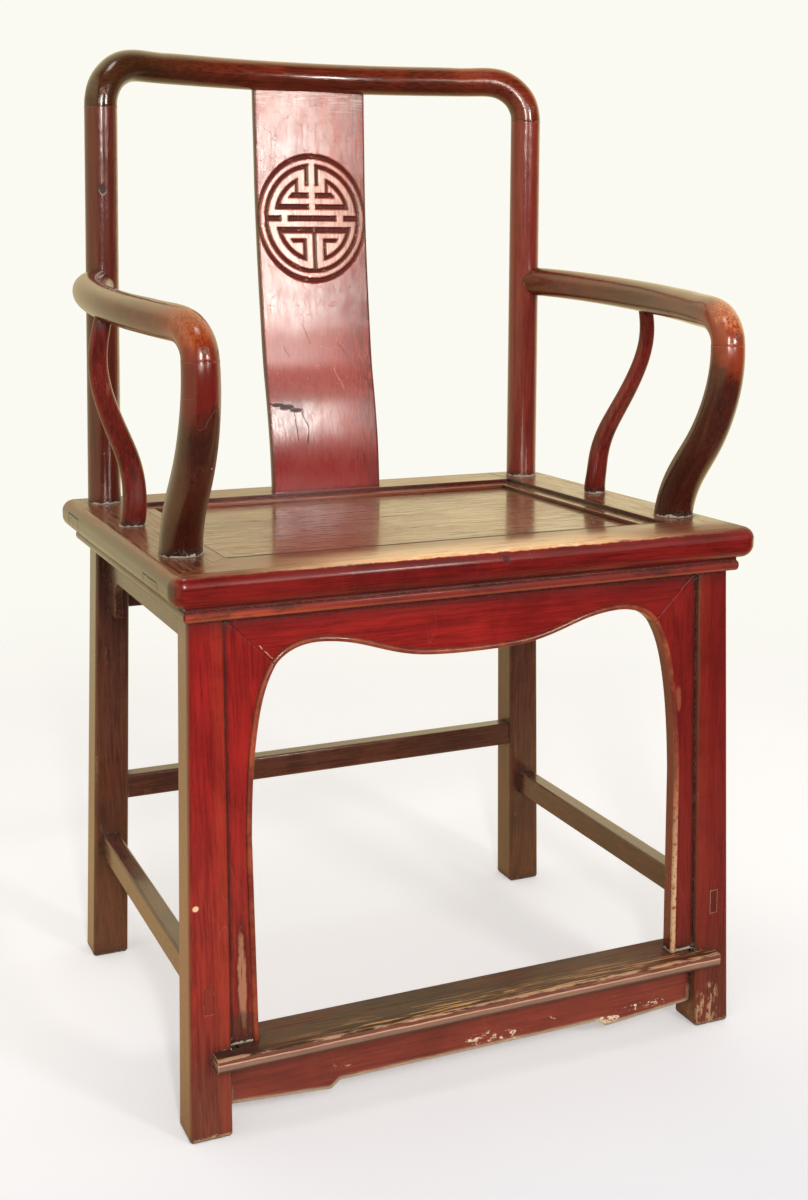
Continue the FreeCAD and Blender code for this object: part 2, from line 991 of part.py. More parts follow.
def apron_zone(front, rear, side_reach, top_reach):
    """The leaning slab that an apron piece fills, with its reach into the legs and the rail."""
    centre, size = front_leg_centre(rail_bottom)
    slab = box(-half_width, half_width, front, rear, -rail_thickness, rail_bottom + rail_thickness)
    slab = leaned(slab)
    inner = centre.x - size / 2 + side_reach
    lean = front_leg_centre(0)[0].x - front_leg_foot / 2 - (centre.x - size / 2)
    limit = prism(
        (
            (-inner - lean, front_edge, 0),
            (inner + lean, front_edge, 0),
            (inner, front_edge, rail_bottom),
            (inner, front_edge, rail_bottom + top_reach),
            (-inner, front_edge, rail_bottom + top_reach),
            (-inner, front_edge, rail_bottom),
        ),
        V(0, seat_depth, 0),
    )
    return slab.common(limit)


def front_apron_pieces():
    above = box(-half_width, half_width, front_edge, rear_edge, foot_rest_height, seat_height)
    tongue_front = (apron_thickness - apron_tongue_thickness) / 2
    body = apron_zone(0, apron_thickness, 0, 0)
    tongue = apron_zone(tongue_front, tongue_front + apron_tongue_thickness,
                        apron_tongue_depth, apron_tongue_depth)
    slab = body.fuse(tongue).common(above)
    top = slab.common(leaned(apron_outline()))
    right = slab.common(leaned(strip_outline()))
    return top, right


# Side and rear aprons

def board_apron_outline(start, end):
    """The board seen square on, along x from start to end, with an ear at each end."""
    low = seat_height - rail_thickness - board_apron_drop
    ear = seat_height - rail_thickness - ear_drop
    radius = min(ear_radius, ear_length, low - ear)
    bend = radius * (1 - diagonal)
    first, last = start + ear_length, end - ear_length
    edges = [
        line(V(start, 0, rail_bottom), V(start, 0, ear)),
        line(V(start, 0, ear), V(first, 0, ear)),
        line(V(first, 0, ear), V(first, 0, low - radius)),
        arc(V(first, 0, low - radius), V(first + bend, 0, low - bend), V(first + radius, 0, low)),
        line(V(first + radius, 0, low), V(last - radius, 0, low)),
        arc(V(last - radius, 0, low), V(last - bend, 0, low - bend), V(last, 0, low - radius)),
        line(V(last, 0, low - radius), V(last, 0, ear)),
        line(V(last, 0, ear), V(end, 0, ear)),
        line(V(end, 0, ear), V(end, 0, rail_bottom)),
        line(V(end, 0, rail_bottom), V(start, 0, rail_bottom)),
    ]
    return Part.Face(Part.Wire(Part.sortEdges(edges)[0]))


def side_apron():
    front_centre, front_size = front_leg_centre(rail_bottom)
    rear_centre, rear_size = rear_leg_centre(rail_bottom)
    start = front_centre.y + front_size / 2
    end = rear_centre.y - rear_size / 2
    outer = front_centre.x + front_size / 2 - board_apron_inset
    sink = front_size / 4
    face = board_apron_outline(start - sink, end + sink)
    board = face.extrude(V(0, board_apron_thickness, 0))
    board.rotate(V(0, 0, 0), V(0, 0, 1), 90)
    board.translate(V(outer, 0, 0))
    return board


def rear_apron():
    centre, size = rear_leg_centre(rail_bottom)
    end = centre.x - size / 2 + size / 4
    face = board_apron_outline(-end, end)
    board = face.extrude(V(0, board_apron_thickness, 0))
    board.translate(V(0, rear_edge - rear_apron_inset - board_apron_thickness, 0))
    return board


# Foot rest

def foot_rest_board():
    half = foot_rest_half_length
    board = box(-half, half, foot_rest_front, foot_rest_front + foot_rest_depth,
                foot_rest_under, foot_rest_height)

    def is_front(edge):
        return all(abs(vertex.Y - foot_rest_front) < overrun / 4 for vertex in edge.Vertexes)
    return board.makeFillet(foot_rest_nose_radius, edges_along(board, is_front))


def foot_rest_tenon():
    """The tenon of the foot rest in the right leg."""
    middle_z = (foot_rest_under + foot_rest_height) / 2
    centre, size = front_leg_centre(middle_z)
    inner = centre.x - size / 2
    half_w, half_t = foot_rest_tenon_width / 2, foot_rest_tenon_thickness / 2
    return box(inner - overrun, inner + foot_rest_tenon_length, centre.y - half_w,
               centre.y + half_w, middle_z - half_t, middle_z + half_t)


def foot_apron():
    centre, size = front_leg_centre(foot_rest_under)
    end = centre.x
    front = centre.y - size / 2 + foot_apron_setback
    cusp_in = foot_apron_cusp - foot_apron_step
    points = (
        (-end, front, foot_rest_under),
        (-end, front, foot_apron_end_height),
        (-foot_apron_cusp, front, foot_apron_cusp_height),
        (-cusp_in, front, foot_apron_middle_height),
        (cusp_in, front, foot_apron_middle_height),
        (foot_apron_cusp, front, foot_apron_cusp_height),
        (end, front, foot_apron_end_height),
        (end, front, foot_rest_under),
    )
    return prism(points, V(0, foot_apron_thickness, 0))


# Stretchers

def level_edges_round(shape, radius, axis):
    def is_long(edge):
        low, high = edge.Vertexes[0].Point, edge.Vertexes[-1].Point
        return abs(getattr(high - low, axis)) > seat_depth / 2
    return shape.makeFillet(radius, edges_along(shape, is_long))


def side_stretcher_bar():
    low = side_stretcher_top - side_stretcher_height
    front, front_size = front_leg_centre(low)
    rear, _ = rear_leg_centre(low)
    outer = front.x + front_size / 2 - side_stretcher_inset
    bar = box(outer - side_stretcher_width, outer, front.y, rear.y, low, side_stretcher_top)
    return level_edges_round(bar, stretcher_edge_radius, "y")


def side_stretcher_tenon(front_leg, rear_leg):
    """The tenons run right through both legs and end flush with their outer faces."""
    low = side_stretcher_top - side_stretcher_height
    front, front_size = front_leg_centre(low)
    outer = front.x + front_size / 2 - side_stretcher_inset - side_tenon_side_offset
    bar = box(outer - side_tenon_width, outer, foot_rest_front, rear_edge + overrun,
              low + stretcher_edge_radius / 2, side_stretcher_top - stretcher_edge_radius / 2)
    return bar.common(front_leg.fuse(rear_leg))


def rear_stretcher_bar():
    low = rear_stretcher_top - rear_stretcher_height
    centre, size = rear_leg_centre(low)
    front = centre.y - size / 2 + rear_stretcher_setback
    bar = box(-centre.x, centre.x, front, front + rear_stretcher_depth, low, rear_stretcher_top)
    return level_edges_round(bar, stretcher_edge_radius, "x")


def rear_stretcher_tenon():
    low = rear_stretcher_top - rear_stretcher_height
    centre, size = rear_leg_centre(low)
    inner = centre.x - size / 2
    front = centre.y - size / 2 + rear_stretcher_setback
    start = front + (rear_stretcher_depth - rear_tenon_thickness) / 2
    return box(inner - overrun, inner + rear_tenon_length, start, start + rear_tenon_thickness,
               low + stretcher_edge_radius, rear_stretcher_top - stretcher_edge_radius)


# Pegs

def peg_through(centre, piece):
    """A peg from front to back through a turned-down end, trimmed flush with its faces."""
    reach = 2 * crest_diameter
    start = centre - V(0, reach / 2, 0)
    peg = Part.makeCylinder(peg_diameter / 2, reach, start, V(0, 1, 0))
    return largest(peg.common(piece))


# Putting the pieces together

def largest(shape):
    return max(shape.Solids, key=lambda solid: solid.Volume)


def cut_all(shape, *tools):
    for tool in tools:
        shape = shape.cut(tool)
    return largest(shape)


def both(shape):
    return [shape, mirrored(shape)]


def right_blanks():
    """The right side's pieces before any socket is cut in them."""
    crest = crest_blank()
    post = rear_post()
    arm = largest(arm_blank().cut(post))
    low, high = arm_post_tenons()
    support_low, support_high = support_tenons(arm)
    front_leg = front_leg_body()
    rear_leg = rear_leg_body()
    arm_seat = arm_post_points()[-1] + V(0, 0, arm_post_top_tenon_length / 2)
    return {
        "crest": crest,
        "post": post,
        "arm": arm,
        "arm_dowel": arm_dowel().common(post),
        "arm_post_low": low,
        "arm_post_high": high,
        "support": largest(support_body().cut(arm)),
        "support_low": support_low,
        "support_high": support_high,
        "front_leg": front_leg,
        "rear_leg": rear_leg,
        "leg_tenon": front_leg_tenon(),
        "neck": rear_neck(),
        "side_apron": side_apron(),
        "stretcher_tenon": side_stretcher_tenon(front_leg, rear_leg),
        "crest_peg": peg_through(post_axis(seam_z + post_tenon_length / 2), crest),
        "arm_peg": peg_through(arm_seat, arm),
    }


def right_nodes(blank, apron, strip, rear_board):
    rest_tenon = foot_rest_tenon()
    post = cut_all(
        blank["post"], blank["arm_dowel"], blank["crest_peg"], blank["side_apron"],
        rear_board, blank["stretcher_tenon"], rear_stretcher_tenon(),
    )
    leg = cut_all(
        blank["front_leg"].fuse(blank["leg_tenon"]), blank["stretcher_tenon"],
        blank["side_apron"], apron, strip, rest_tenon,
    )
    arm_post = arm_post_body().fuse([blank["arm_post_low"], blank["arm_post_high"]])
    arm = cut_all(
        blank["arm"].fuse(blank["arm_dowel"]), blank["arm_post_high"], blank["arm_peg"],
        blank["support_high"],
    )
    bar = side_stretcher_bar().cut(blank["front_leg"]).cut(blank["rear_leg"])
    return {
        "rear_post": post,
        "front_leg": leg,
        "front_arm_post": cut_all(arm_post, blank["arm_peg"]),
        "armrest": arm,
        "side_support": blank["support"].fuse([blank["support_low"], blank["support_high"]]),
        "side_apron": blank["side_apron"],
        "front_apron_strip": strip,
        "side_stretcher": bar.fuse(blank["stretcher_tenon"]).removeSplitter(),
    }


def splat_and_crest(blank):
    foot_tenon = splat_tenon()
    splat = splat_body().fuse(foot_tenon).removeSplitter()
    sockets = both(post_tenon()) + both(blank["crest_peg"])
    return splat, foot_tenon, cut_all(blank["crest"], splat, *sockets)


def rail_nodes(blank, apron, strip, splat_foot):
    rails = seat_rails()
    tenons = [batten_tenons(x) for x in batten_places()]
    front = both(blank["leg_tenon"]) + both(strip) + [apron] + tenons
    rear = both(blank["neck"]) + [splat_foot] + tenons
    side = [blank["leg_tenon"], blank["neck"], blank["arm_post_low"], blank["support_low"]]
    return {
        "seat_rail_front": cut_all(rails["front"], *front),
        "seat_rail_rear": cut_all(rails["rear"], *rear),
        "seat_rail_right": cut_all(rails["right"], *side),
        "seat_rail_left": cut_all(rails["left"], *[mirrored(tool) for tool in side]),
    }


def seat_nodes():
    left, right = batten_places()
    nodes = {"seat_batten_left": batten(left), "seat_batten_right": batten(right)}
    for place, plank in seat_planks().items():
        nodes["seat_plank_" + place] = plank
    for side, strip in cover_strips().items():
        nodes["seat_cover_strip_" + side] = strip
    return nodes


def low_nodes(blank):
    legs = both(blank["front_leg"])
    rest = cut_all(foot_rest_board(), *legs).fuse(both(foot_rest_tenon()))
    bar = cut_all(rear_stretcher_bar(), *both(blank["rear_leg"]))
    return {
        "foot_rest": rest.removeSplitter(),
        "foot_rest_apron": cut_all(foot_apron(), *legs),
        "rear_stretcher": bar.fuse(both(rear_stretcher_tenon())).removeSplitter(),
    }


def write(name, shape):
    solids = shape.Solids
    whole = solids[0] if len(solids) == 1 else Part.makeCompound(solids)
    whole.exportStep(os.path.join("parts", name + ".step"))


def build():
    blank = right_blanks()
    apron, strip = front_apron_pieces()
    rear_board = rear_apron()
    splat, splat_foot, crest = splat_and_crest(blank)
    nodes = {"crest_rail": crest, "back_splat": splat}
    for name, shape in right_nodes(blank, apron, strip, rear_board).items():
        nodes[name + "_right"] = shape
        nodes[name + "_left"] = mirrored(shape)
    nodes.update(rail_nodes(blank, apron, strip, splat_foot))
    nodes.update(seat_nodes())
    nodes.update(low_nodes(blank))
    nodes["front_apron"] = apron
    nodes["rear_apron"] = rear_board
    nodes["joint_pegs"] = Part.makeCompound(both(blank["crest_peg"]) + both(blank["arm_peg"]))
    for name, shape in nodes.items():
        write(name, shape)


build()
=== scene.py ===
# %% [markdown]
# # An old red lacquered official hat chair
# The construction model gives every piece at its real size, standing on the floor with its front towards
# -Y. This lesson keeps those pieces where they are and gives them the look of a chair that was used for a
# century: thin red lacquer over elm, rubbed through on the arrises, with dust in the corners.

# %% Load the chair
import math

import bmesh
import bpy
from mathutils import Matrix, Vector, noise


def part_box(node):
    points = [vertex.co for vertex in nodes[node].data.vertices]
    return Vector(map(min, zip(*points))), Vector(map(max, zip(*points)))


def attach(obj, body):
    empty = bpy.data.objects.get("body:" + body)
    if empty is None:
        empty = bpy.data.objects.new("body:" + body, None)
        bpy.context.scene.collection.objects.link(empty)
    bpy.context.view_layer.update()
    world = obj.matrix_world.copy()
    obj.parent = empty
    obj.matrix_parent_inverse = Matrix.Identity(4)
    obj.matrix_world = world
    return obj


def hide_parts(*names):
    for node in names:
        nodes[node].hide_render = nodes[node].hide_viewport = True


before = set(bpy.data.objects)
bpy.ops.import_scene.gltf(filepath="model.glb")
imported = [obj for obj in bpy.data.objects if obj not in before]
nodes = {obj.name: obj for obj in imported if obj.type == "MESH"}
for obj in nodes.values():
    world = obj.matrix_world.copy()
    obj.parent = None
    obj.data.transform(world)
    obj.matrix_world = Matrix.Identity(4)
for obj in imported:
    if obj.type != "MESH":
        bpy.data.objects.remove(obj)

bpy.context.view_layer.update()
mm = 0.001
print("pieces of the chair:", len(nodes))

# %% [markdown]
# ## The camera
# The photographer stood a little above the seat and left of the middle. A camera is a place, a direction
# and a focal length. The photo's focal length is known in pixels, so it is turned into millimetres on a 36
# mm film side.

# %% Place the camera
photo_height_px = 1200
focal_px = 1518.833
film_side_mm = 36.0
camera_place = Vector((-583.3, -1383.35, 757.0)) * mm
camera_turn = math.radians(23.439)
camera_dip = math.radians(12.655)
camera_roll = math.radians(-0.157)


def camera_directions():
    """Right, up and forward of the camera as unit vectors."""
    forward = Vector((math.sin(camera_turn) * math.cos(camera_dip),
                      math.cos(camera_turn) * math.cos(camera_dip),
                      -math.sin(camera_dip)))
    level = Vector((math.cos(camera_turn), -math.sin(camera_turn), 0))
    above = level.cross(forward)
    right = level * math.cos(camera_roll) + above * math.sin(camera_roll)
    up = above * math.cos(camera_roll) - level * math.sin(camera_roll)
    return right, up, forward


def place_camera():
    right, up, forward = camera_directions()
    lens = bpy.data.cameras.new("camera")
    lens.sensor_width = film_side_mm
    lens.lens = focal_px * film_side_mm / photo_height_px
    camera = bpy.data.objects.new("camera", lens)
    bpy.context.scene.collection.objects.link(camera)
    turn = Matrix((right, up, -forward)).transposed().to_4x4()
    camera.matrix_world = Matrix.Translation(camera_place) @ turn
    bpy.context.scene.camera = camera
    return camera


camera = place_camera()
bpy.context.scene.view_settings.view_transform = "Standard"
print("lens in mm:", round(camera.data.lens, 2))

# %% [markdown]
# ## Helpers for shader nodes
# Every finish below is a small network of nodes. These helpers add one node and connect it in a single
# line, so that a material reads like a recipe. A socket may be fed by another node or set to a plain value.

# %% Shader helpers


def paint(red, green, blue):
    """Screen values from 0 to 255 as the linear colour that a shader takes."""
    def linear(value):
        share = value / 255
        return share / 12.92 if share <= 0.04045 else ((share + 0.055) / 1.055) ** 2.4
    return (linear(red), linear(green), linear(blue), 1.0)


def add_node(tree, kind, **settings):
    made = tree.nodes.new(kind)
    for name, value in settings.items():
        setattr(made, name, value)
    return made


def feed(tree, socket, source):
    """Links source into the socket, or sets it when source is a plain value."""
    if isinstance(source, bpy.types.NodeSocket):
        tree.links.new(source, socket)
    else:
        socket.default_value = source


def calc(tree, operation, first, second=0.0, clamp=False):
    made = add_node(tree, "ShaderNodeMath", operation=operation, use_clamp=clamp)
    feed(tree, made.inputs[0], first)
    feed(tree, made.inputs[1], second)
    return made.outputs[0]


def fade(tree, value, start, end):
    """0 at start, 1 at end, with a soft step between them."""
    made = add_node(tree, "ShaderNodeMapRange", interpolation_type="SMOOTHSTEP")
    feed(tree, made.inputs["Value"], value)
    feed(tree, made.inputs["From Min"], min(start, end))
    feed(tree, made.inputs["From Max"], max(start, end))
    feed(tree, made.inputs["To Min"], 0.0 if start < end else 1.0)
    feed(tree, made.inputs["To Max"], 1.0 if start < end else 0.0)
    return made.outputs["Result"]


def tint(tree, share, first, second):
    """The colour first where share is 0, second where it is 1."""
    made = add_node(tree, "ShaderNodeMix", data_type="RGBA")
    feed(tree, made.inputs[0], share)
    feed(tree, made.inputs[6], first)
    feed(tree, made.inputs[7], second)
    return made.outputs[2]


def cloud(tree, place, scale, detail=2.0, roughness=0.5, distortion=0.0):
    made = add_node(tree, "ShaderNodeTexNoise")
    feed(tree, made.inputs["Vector"], place)
    feed(tree, made.inputs["Scale"], scale)
    feed(tree, made.inputs["Detail"], detail)
    feed(tree, made.inputs["Roughness"], roughness)
    feed(tree, made.inputs["Distortion"], distortion)
    return made.outputs["Fac"]


def combine(tree, operation, first, second):
    made = add_node(tree, "ShaderNodeVectorMath", operation=operation)
    feed(tree, made.inputs[0], first)
    feed(tree, made.inputs[1], second)
    return made.outputs["Value"] if operation in ("DOT_PRODUCT", "LENGTH") else made.outputs["Vector"]


def near_level(tree, value, level, start, end):
    """Marks where a value comes near a level: 0 at the distance start, 1 at the distance end."""
    return fade(tree, calc(tree, "ABSOLUTE", calc(tree, "SUBTRACT", value, level)), start, end)


def sway(tree, pattern, depth):
    """A cloud pattern as a push to both sides, depth wide in all."""
    return calc(tree, "MULTIPLY", calc(tree, "SUBTRACT", pattern, 0.5), depth)


def overlap(tree, first, *others):
    """Where all the masks are."""
    for other in others:
        first = calc(tree, "MULTIPLY", first, other)
    return first


def xyz(tree, source):
    """The three parts of a vector."""
    split = add_node(tree, "ShaderNodeSeparateXYZ")
    feed(tree, split.inputs[0], source)
    return tuple(split.outputs)


def new_group(name, inputs, outputs):
    """A node group with its given and its result sockets; inputs maps a name to its kind and value."""
    group = bpy.data.node_groups.new(name, "ShaderNodeTree")
    for socket, (kind, value) in inputs.items():
        made = group.interface.new_socket(socket, in_out="INPUT", socket_type="NodeSocket" + kind)
        made.default_value = value
    for socket, kind in outputs.items():
        group.interface.new_socket(socket, in_out="OUTPUT", socket_type="NodeSocket" + kind)
    return group, group.nodes.new("NodeGroupInput").outputs, group.nodes.new("NodeGroupOutput").inputs


def use_group(tree, name, **values):
    made = add_node(tree, "ShaderNodeGroup", node_tree=bpy.data.node_groups[name])
    for socket, value in values.items():
        feed(tree, made.inputs[socket], value)
    return made.outputs


print("mid grey as a shader takes it:", round(paint(128, 128, 128)[0], 3))

# %% [markdown]
# ## Floor, surroundings and lamps
# Glossy lacquer shows what stands around it, so the surroundings matter as much as the lamps. The room is
# cream behind the chair and dark on the photographer's side: that keeps the front faces deep red and lays a
# pale sheen on the seat. The floor is a wide pale sheet that melts into the background before its own edge
# is reached.

# %% Make the floor and the surroundings
floor_radius = 3.0
floor_full_within = 0.7
floor_gone_beyond = 2.2
room_cream = paint(251, 250, 242)
wall_sheen = (1.26, 1.10, 0.66, 1.0)
dim_wall_sheen = (0.72, 0.62, 0.36, 1.0)
front_sheen = paint(40, 34, 30)
front_window = (4.4, 4.0, 3.4, 1.0)
daylight = (0.70, 0.665, 0.60, 1.0)
mirrored_behind = paint(240, 206, 150)
mirrored_in_front = paint(75, 66, 62)


def sees_background(tree):
    """1 for rays from the camera, from gloss and through glass."""
    path = add_node(tree, "ShaderNodeLightPath")
    seen = calc(tree, "MAXIMUM", path.outputs["Is Camera Ray"], path.outputs["Is Glossy Ray"])
    return calc(tree, "MAXIMUM", seen, path.outputs["Is Transmission Ray"])


def make_surroundings():
    world = bpy.data.worlds.new("cream room")
    bpy.context.scene.world = world
    world.use_nodes = True
    tree = world.node_tree
    background = tree.nodes["Background"]
    path = add_node(tree, "ShaderNodeLightPath")
    x, y, z = xyz(tree, add_node(tree, "ShaderNodeTexCoord").outputs["Generated"])
    behind = calc(tree, "MAXIMUM", fade(tree, y, -0.35, 0.35), fade(tree, x, -0.50, -0.75))
    bright_wall = calc(tree, "MAXIMUM", fade(tree, x, 0.16, 0.52), fade(tree, z, 0.22, 0.50))
    wall = tint(tree, bright_wall, dim_wall_sheen, wall_sheen)
    window_width = overlap(tree, fade(tree, x, -0.52, -0.40), fade(tree, x, 0.06, -0.12))
    window_height = overlap(tree, fade(tree, z, 0.01, 0.06), fade(tree, z, 0.24, 0.16))
    in_window = overlap(tree, window_width, window_height, fade(tree, y, -0.4, -0.5))
    front = tint(tree, in_window, front_sheen, front_window)
    sheen = tint(tree, behind, front, wall)
    shown = tint(tree, path.outputs["Is Camera Ray"], sheen, room_cream)
    feed(tree, background.inputs["Color"], tint(tree, sees_background(tree), daylight, shown))
    feed(tree, background.inputs["Strength"], 1.0)


def make_floor():
    bpy.ops.object.select_all(action="DESELECT")
    bpy.ops.mesh.primitive_circle_add(vertices=96, radius=floor_radius, fill_type="NGON")
    floor = bpy.context.object
    floor.name = "floor"
    floor.data.materials.append(pale_floor())
    return floor


def pale_floor():
    material = bpy.data.materials.new("pale floor")
    material.use_nodes = True
    tree = material.node_tree
    surface = tree.nodes["Principled BSDF"]
    place = add_node(tree, "ShaderNodeTexCoord").outputs["Object"]
    y = xyz(tree, place)[1]
    path = add_node(tree, "ShaderNodeLightPath")
    mirrored = tint(tree, fade(tree, y, 0.0, -0.5), mirrored_behind, mirrored_in_front)
    folds = cloud(tree, place, 2.5, 3.0)
    near_white = tint(tree, folds, paint(205, 209, 224), paint(214, 217, 230))
    far_white = tint(tree, folds, paint(226, 227, 235), paint(234, 234, 239))
    behind = fade(tree, y, -0.75, 0.15)
    white = tint(tree, behind, near_white, far_white)
    feed(tree, surface.inputs["Base Color"], tint(tree, path.outputs["Is Glossy Ray"], white, mirrored))
    feed(tree, surface.inputs["Roughness"], 0.85)
    distance = combine(tree, "LENGTH", place, (0, 0, 0))
    feed(tree, surface.inputs["Alpha"], fade(tree, distance, floor_gone_beyond, floor_full_within))
    feed(tree, surface.inputs["Emission Color"], (1.0, 0.99, 0.97, 1.0))
    glow = calc(tree, "ADD", 0.10, calc(tree, "MULTIPLY", behind, 0.22))
    shown_glow = calc(tree, "MULTIPLY", path.outputs["Is Camera Ray"], glow)
    feed(tree, surface.inputs["Emission Strength"], shown_glow)
    return material


make_surroundings()
floor = make_floor()
print("floor radius in m:", floor_radius)

# %% [markdown]
# Three soft lamps are enough. The window lamp stands at the front right at head height: it is what the
# curved splat mirrors, and its lower edge stays high so that the foot of the splat keeps its deep colour.
# The lamp by the camera draws the fine bright lines along the round posts. A weak ceiling lamp lifts the
# seat and the tops of the arms.

# %% Place the lamps


def place_lamp(name, place, aim, width, height, power, colour=(1.0, 0.96, 0.89)):
    light = bpy.data.lights.new(name, "AREA")
    light.shape = "RECTANGLE"
    light.size = width
    light.size_y = height
    light.energy = power
    light.color = colour
    lamp = bpy.data.objects.new(name, light)
    bpy.context.scene.collection.objects.link(lamp)
    lamp.location = place
    lamp.rotation_euler = (Vector(aim) - Vector(place)).to_track_quat("-Z", "Y").to_euler()
    return lamp


window_lamp = place_lamp("window lamp", (0.61, -1.75, 1.06), aim=(0, 0.19, 0.75),
                         width=0.24, height=0.22, power=9.5)
camera_lamp = place_lamp("camera lamp", (-0.50, -1.60, 1.10), aim=(0, 0, 0.7),
                         width=0.10, height=0.44, power=11.0)
ceiling_lamp = place_lamp("ceiling lamp", (-0.25, -0.50, 2.30), aim=(0, 0, 0.4),
                          width=0.40, height=0.40, power=3.5)
print("lamps:", window_lamp.name, camera_lamp.name, ceiling_lamp.name)

# %% [markdown]
# ## Effects that many finishes share
# **Wood grain.** Elm has long fibres, so a cloud pattern is squeezed across the grain and drawn out along
# it. The same group serves every piece: only the stretch changes with the direction in which the board was
# sawn.

# %% Grain group


def make_wood_grain():
    tree, given, result = new_group(
        "wood grain",
        {"Place": ("Vector", (0, 0, 0)), "Stretch": ("Vector", (1, 1, 1))},
        {"Streak": "Float", "Figure": "Float", "Pores": "Float", "Blotch": "Float"})
    drawn = combine(tree, "MULTIPLY", given["Place"], given["Stretch"])
    feed(tree, result["Streak"], cloud(tree, drawn, 420.0, 5.0, 0.62, 0.4))
    feed(tree, result["Figure"], cloud(tree, drawn, 70.0, 3.0, 0.55, 1.6))
    fibres = cloud(tree, drawn, 1500.0, 2.0, 0.5)
    feed(tree, result["Pores"], fade(tree, fibres, 0.60, 0.70))
    feed(tree, result["Blotch"], cloud(tree, given["Place"], 11.0, 4.0, 0.55, 0.8))
    return tree


wood_grain = make_wood_grain()
grain_along_x = (0.045, 1.0, 1.0)
grain_along_y = (1.0, 0.045, 1.0)
grain_along_z = (1.0, 1.0, 0.045)
print("group:", wood_grain.name)

# %% [markdown]
# **Rubbed edges.** Hands and cloths take lacquer off where a corner stands out. A softened normal differs
# from the real one only near a corner, so their difference is a mask of the arrises. A cloud pattern breaks
# it up.

# %% Rubbed edge group


def make_rubbed_edges():
    tree, given, result = new_group(
        "rubbed edges",
        {"Place": ("Vector", (0, 0, 0)), "Width": ("Float", 0.003)},
        {"Edge": "Float", "Chips": "Float", "Rounded": "Vector"})
    soft = add_node(tree, "ShaderNodeBevel", samples=6)
    feed(tree, soft.inputs["Radius"], given["Width"])
    sharp = add_node(tree, "ShaderNodeNewGeometry").outputs["Normal"]
    agree = combine(tree, "DOT_PRODUCT", soft.outputs["Normal"], sharp)
    edge = fade(tree, agree, 0.99, 0.86)
    feed(tree, result["Edge"], edge)
    feed(tree, result["Rounded"], soft.outputs["Normal"])
    breaks = fade(tree, cloud(tree, given["Place"], 170.0, 5.0, 0.65), 0.46, 0.60)
    feed(tree, result["Chips"], calc(tree, "MULTIPLY", edge, breaks))
    return tree


rubbed_edges = make_rubbed_edges()
print("group:", rubbed_edges.name)

# %% [markdown]
# ** Dirt, dust and shade in corners.** Wax, soot and dust gather where the cloth can't reach. The ambient
# occlusion node says how closed in a point is by the pieces around it, which is just where they stay. Its
# dark mask is dirt and painted shade together, since shade falls in the same corners; its pale mask is dust.

# %% Corner dirt and shade group


def make_corner_dirt_and_shade():
    tree, given, result = new_group(
        "corner dirt and shade",
        {"Place": ("Vector", (0, 0, 0)), "Reach": ("Float", 0.012)},
        {"Dirt and shade": "Float", "Dust": "Float"})
    closed = add_node(tree, "ShaderNodeAmbientOcclusion", samples=6)
    feed(tree, closed.inputs["Distance"], given["Reach"])
    openness = closed.outputs["AO"]
    patches = cloud(tree, given["Place"], 60.0, 4.0, 0.6)
    uneven = calc(tree, "SUBTRACT", openness, calc(tree, "MULTIPLY", patches, 0.35))
    # The dark mask: wax and dirt in the corners, and painted shade where the corners are closed in.
    feed(tree, result["Dirt and shade"], fade(tree, uneven, 0.62, 0.15))
    crumbs = fade(tree, cloud(tree, given["Place"], 520.0, 3.0, 0.6), 0.50, 0.60)
    deep = fade(tree, openness, 0.52, 0.34)
    feed(tree, result["Dust"], calc(tree, "MULTIPLY", deep, crumbs))
    return tree


corner_dirt_and_shade = make_corner_dirt_and_shade()
print("group:", corner_dirt_and_shade.name)

# %% [markdown]
# **Knocks and scratches.** Small pale chips come from cells of which only a few are kept. Fine scratches
# are the thin line where a drawn-out cloud pattern crosses one value.

# %% Knocks group


def make_knocks():
    tree, given, result = new_group(
        "knocks",
        {"Place": ("Vector", (0, 0, 0))},
        {"Specks": "Float", "Scratches": "Float"})
    cells = add_node(tree, "ShaderNodeTexVoronoi")
    feed(tree, cells.inputs["Vector"], given["Place"])
    feed(tree, cells.inputs["Scale"], 42.0)
    lot = add_node(tree, "ShaderNodeSeparateColor")
    feed(tree, lot.inputs[0], cells.outputs["Color"])
    chosen = fade(tree, lot.outputs[0], 0.90, 0.92)
    ragged = calc(tree, "MULTIPLY", cloud(tree, given["Place"], 700.0, 2.0), 0.06)
    near = fade(tree, calc(tree, "ADD", cells.outputs["Distance"], ragged), 0.075, 0.055)
    feed(tree, result["Specks"], calc(tree, "MULTIPLY", chosen, near))
    turned = add_node(tree, "ShaderNodeMapping")
    feed(tree, turned.inputs["Vector"], given["Place"])
    feed(tree, turned.inputs["Rotation"], (0.5, 0.35, 0.9))
    feed(tree, turned.inputs["Scale"], (1.0, 0.12, 0.3))
    wander = cloud(tree, turned.outputs["Vector"], 55.0, 1.0)
    line = near_level(tree, wander, 0.5, 0.0035, 0.0)
    there = fade(tree, cloud(tree, given["Place"], 16.0, 1.0), 0.56, 0.66)
    feed(tree, result["Scratches"], calc(tree, "MULTIPLY", line, there))
    return tree


knocks = make_knocks()
print("group:", knocks.name)

# %% [markdown]
# **Worn places.** Some marks belong to one spot: the bare patch on the left strip, the rubbed bends of the
# arms. This group gives a soft blot around a centre, with a ragged rim.

# %% Worn place group


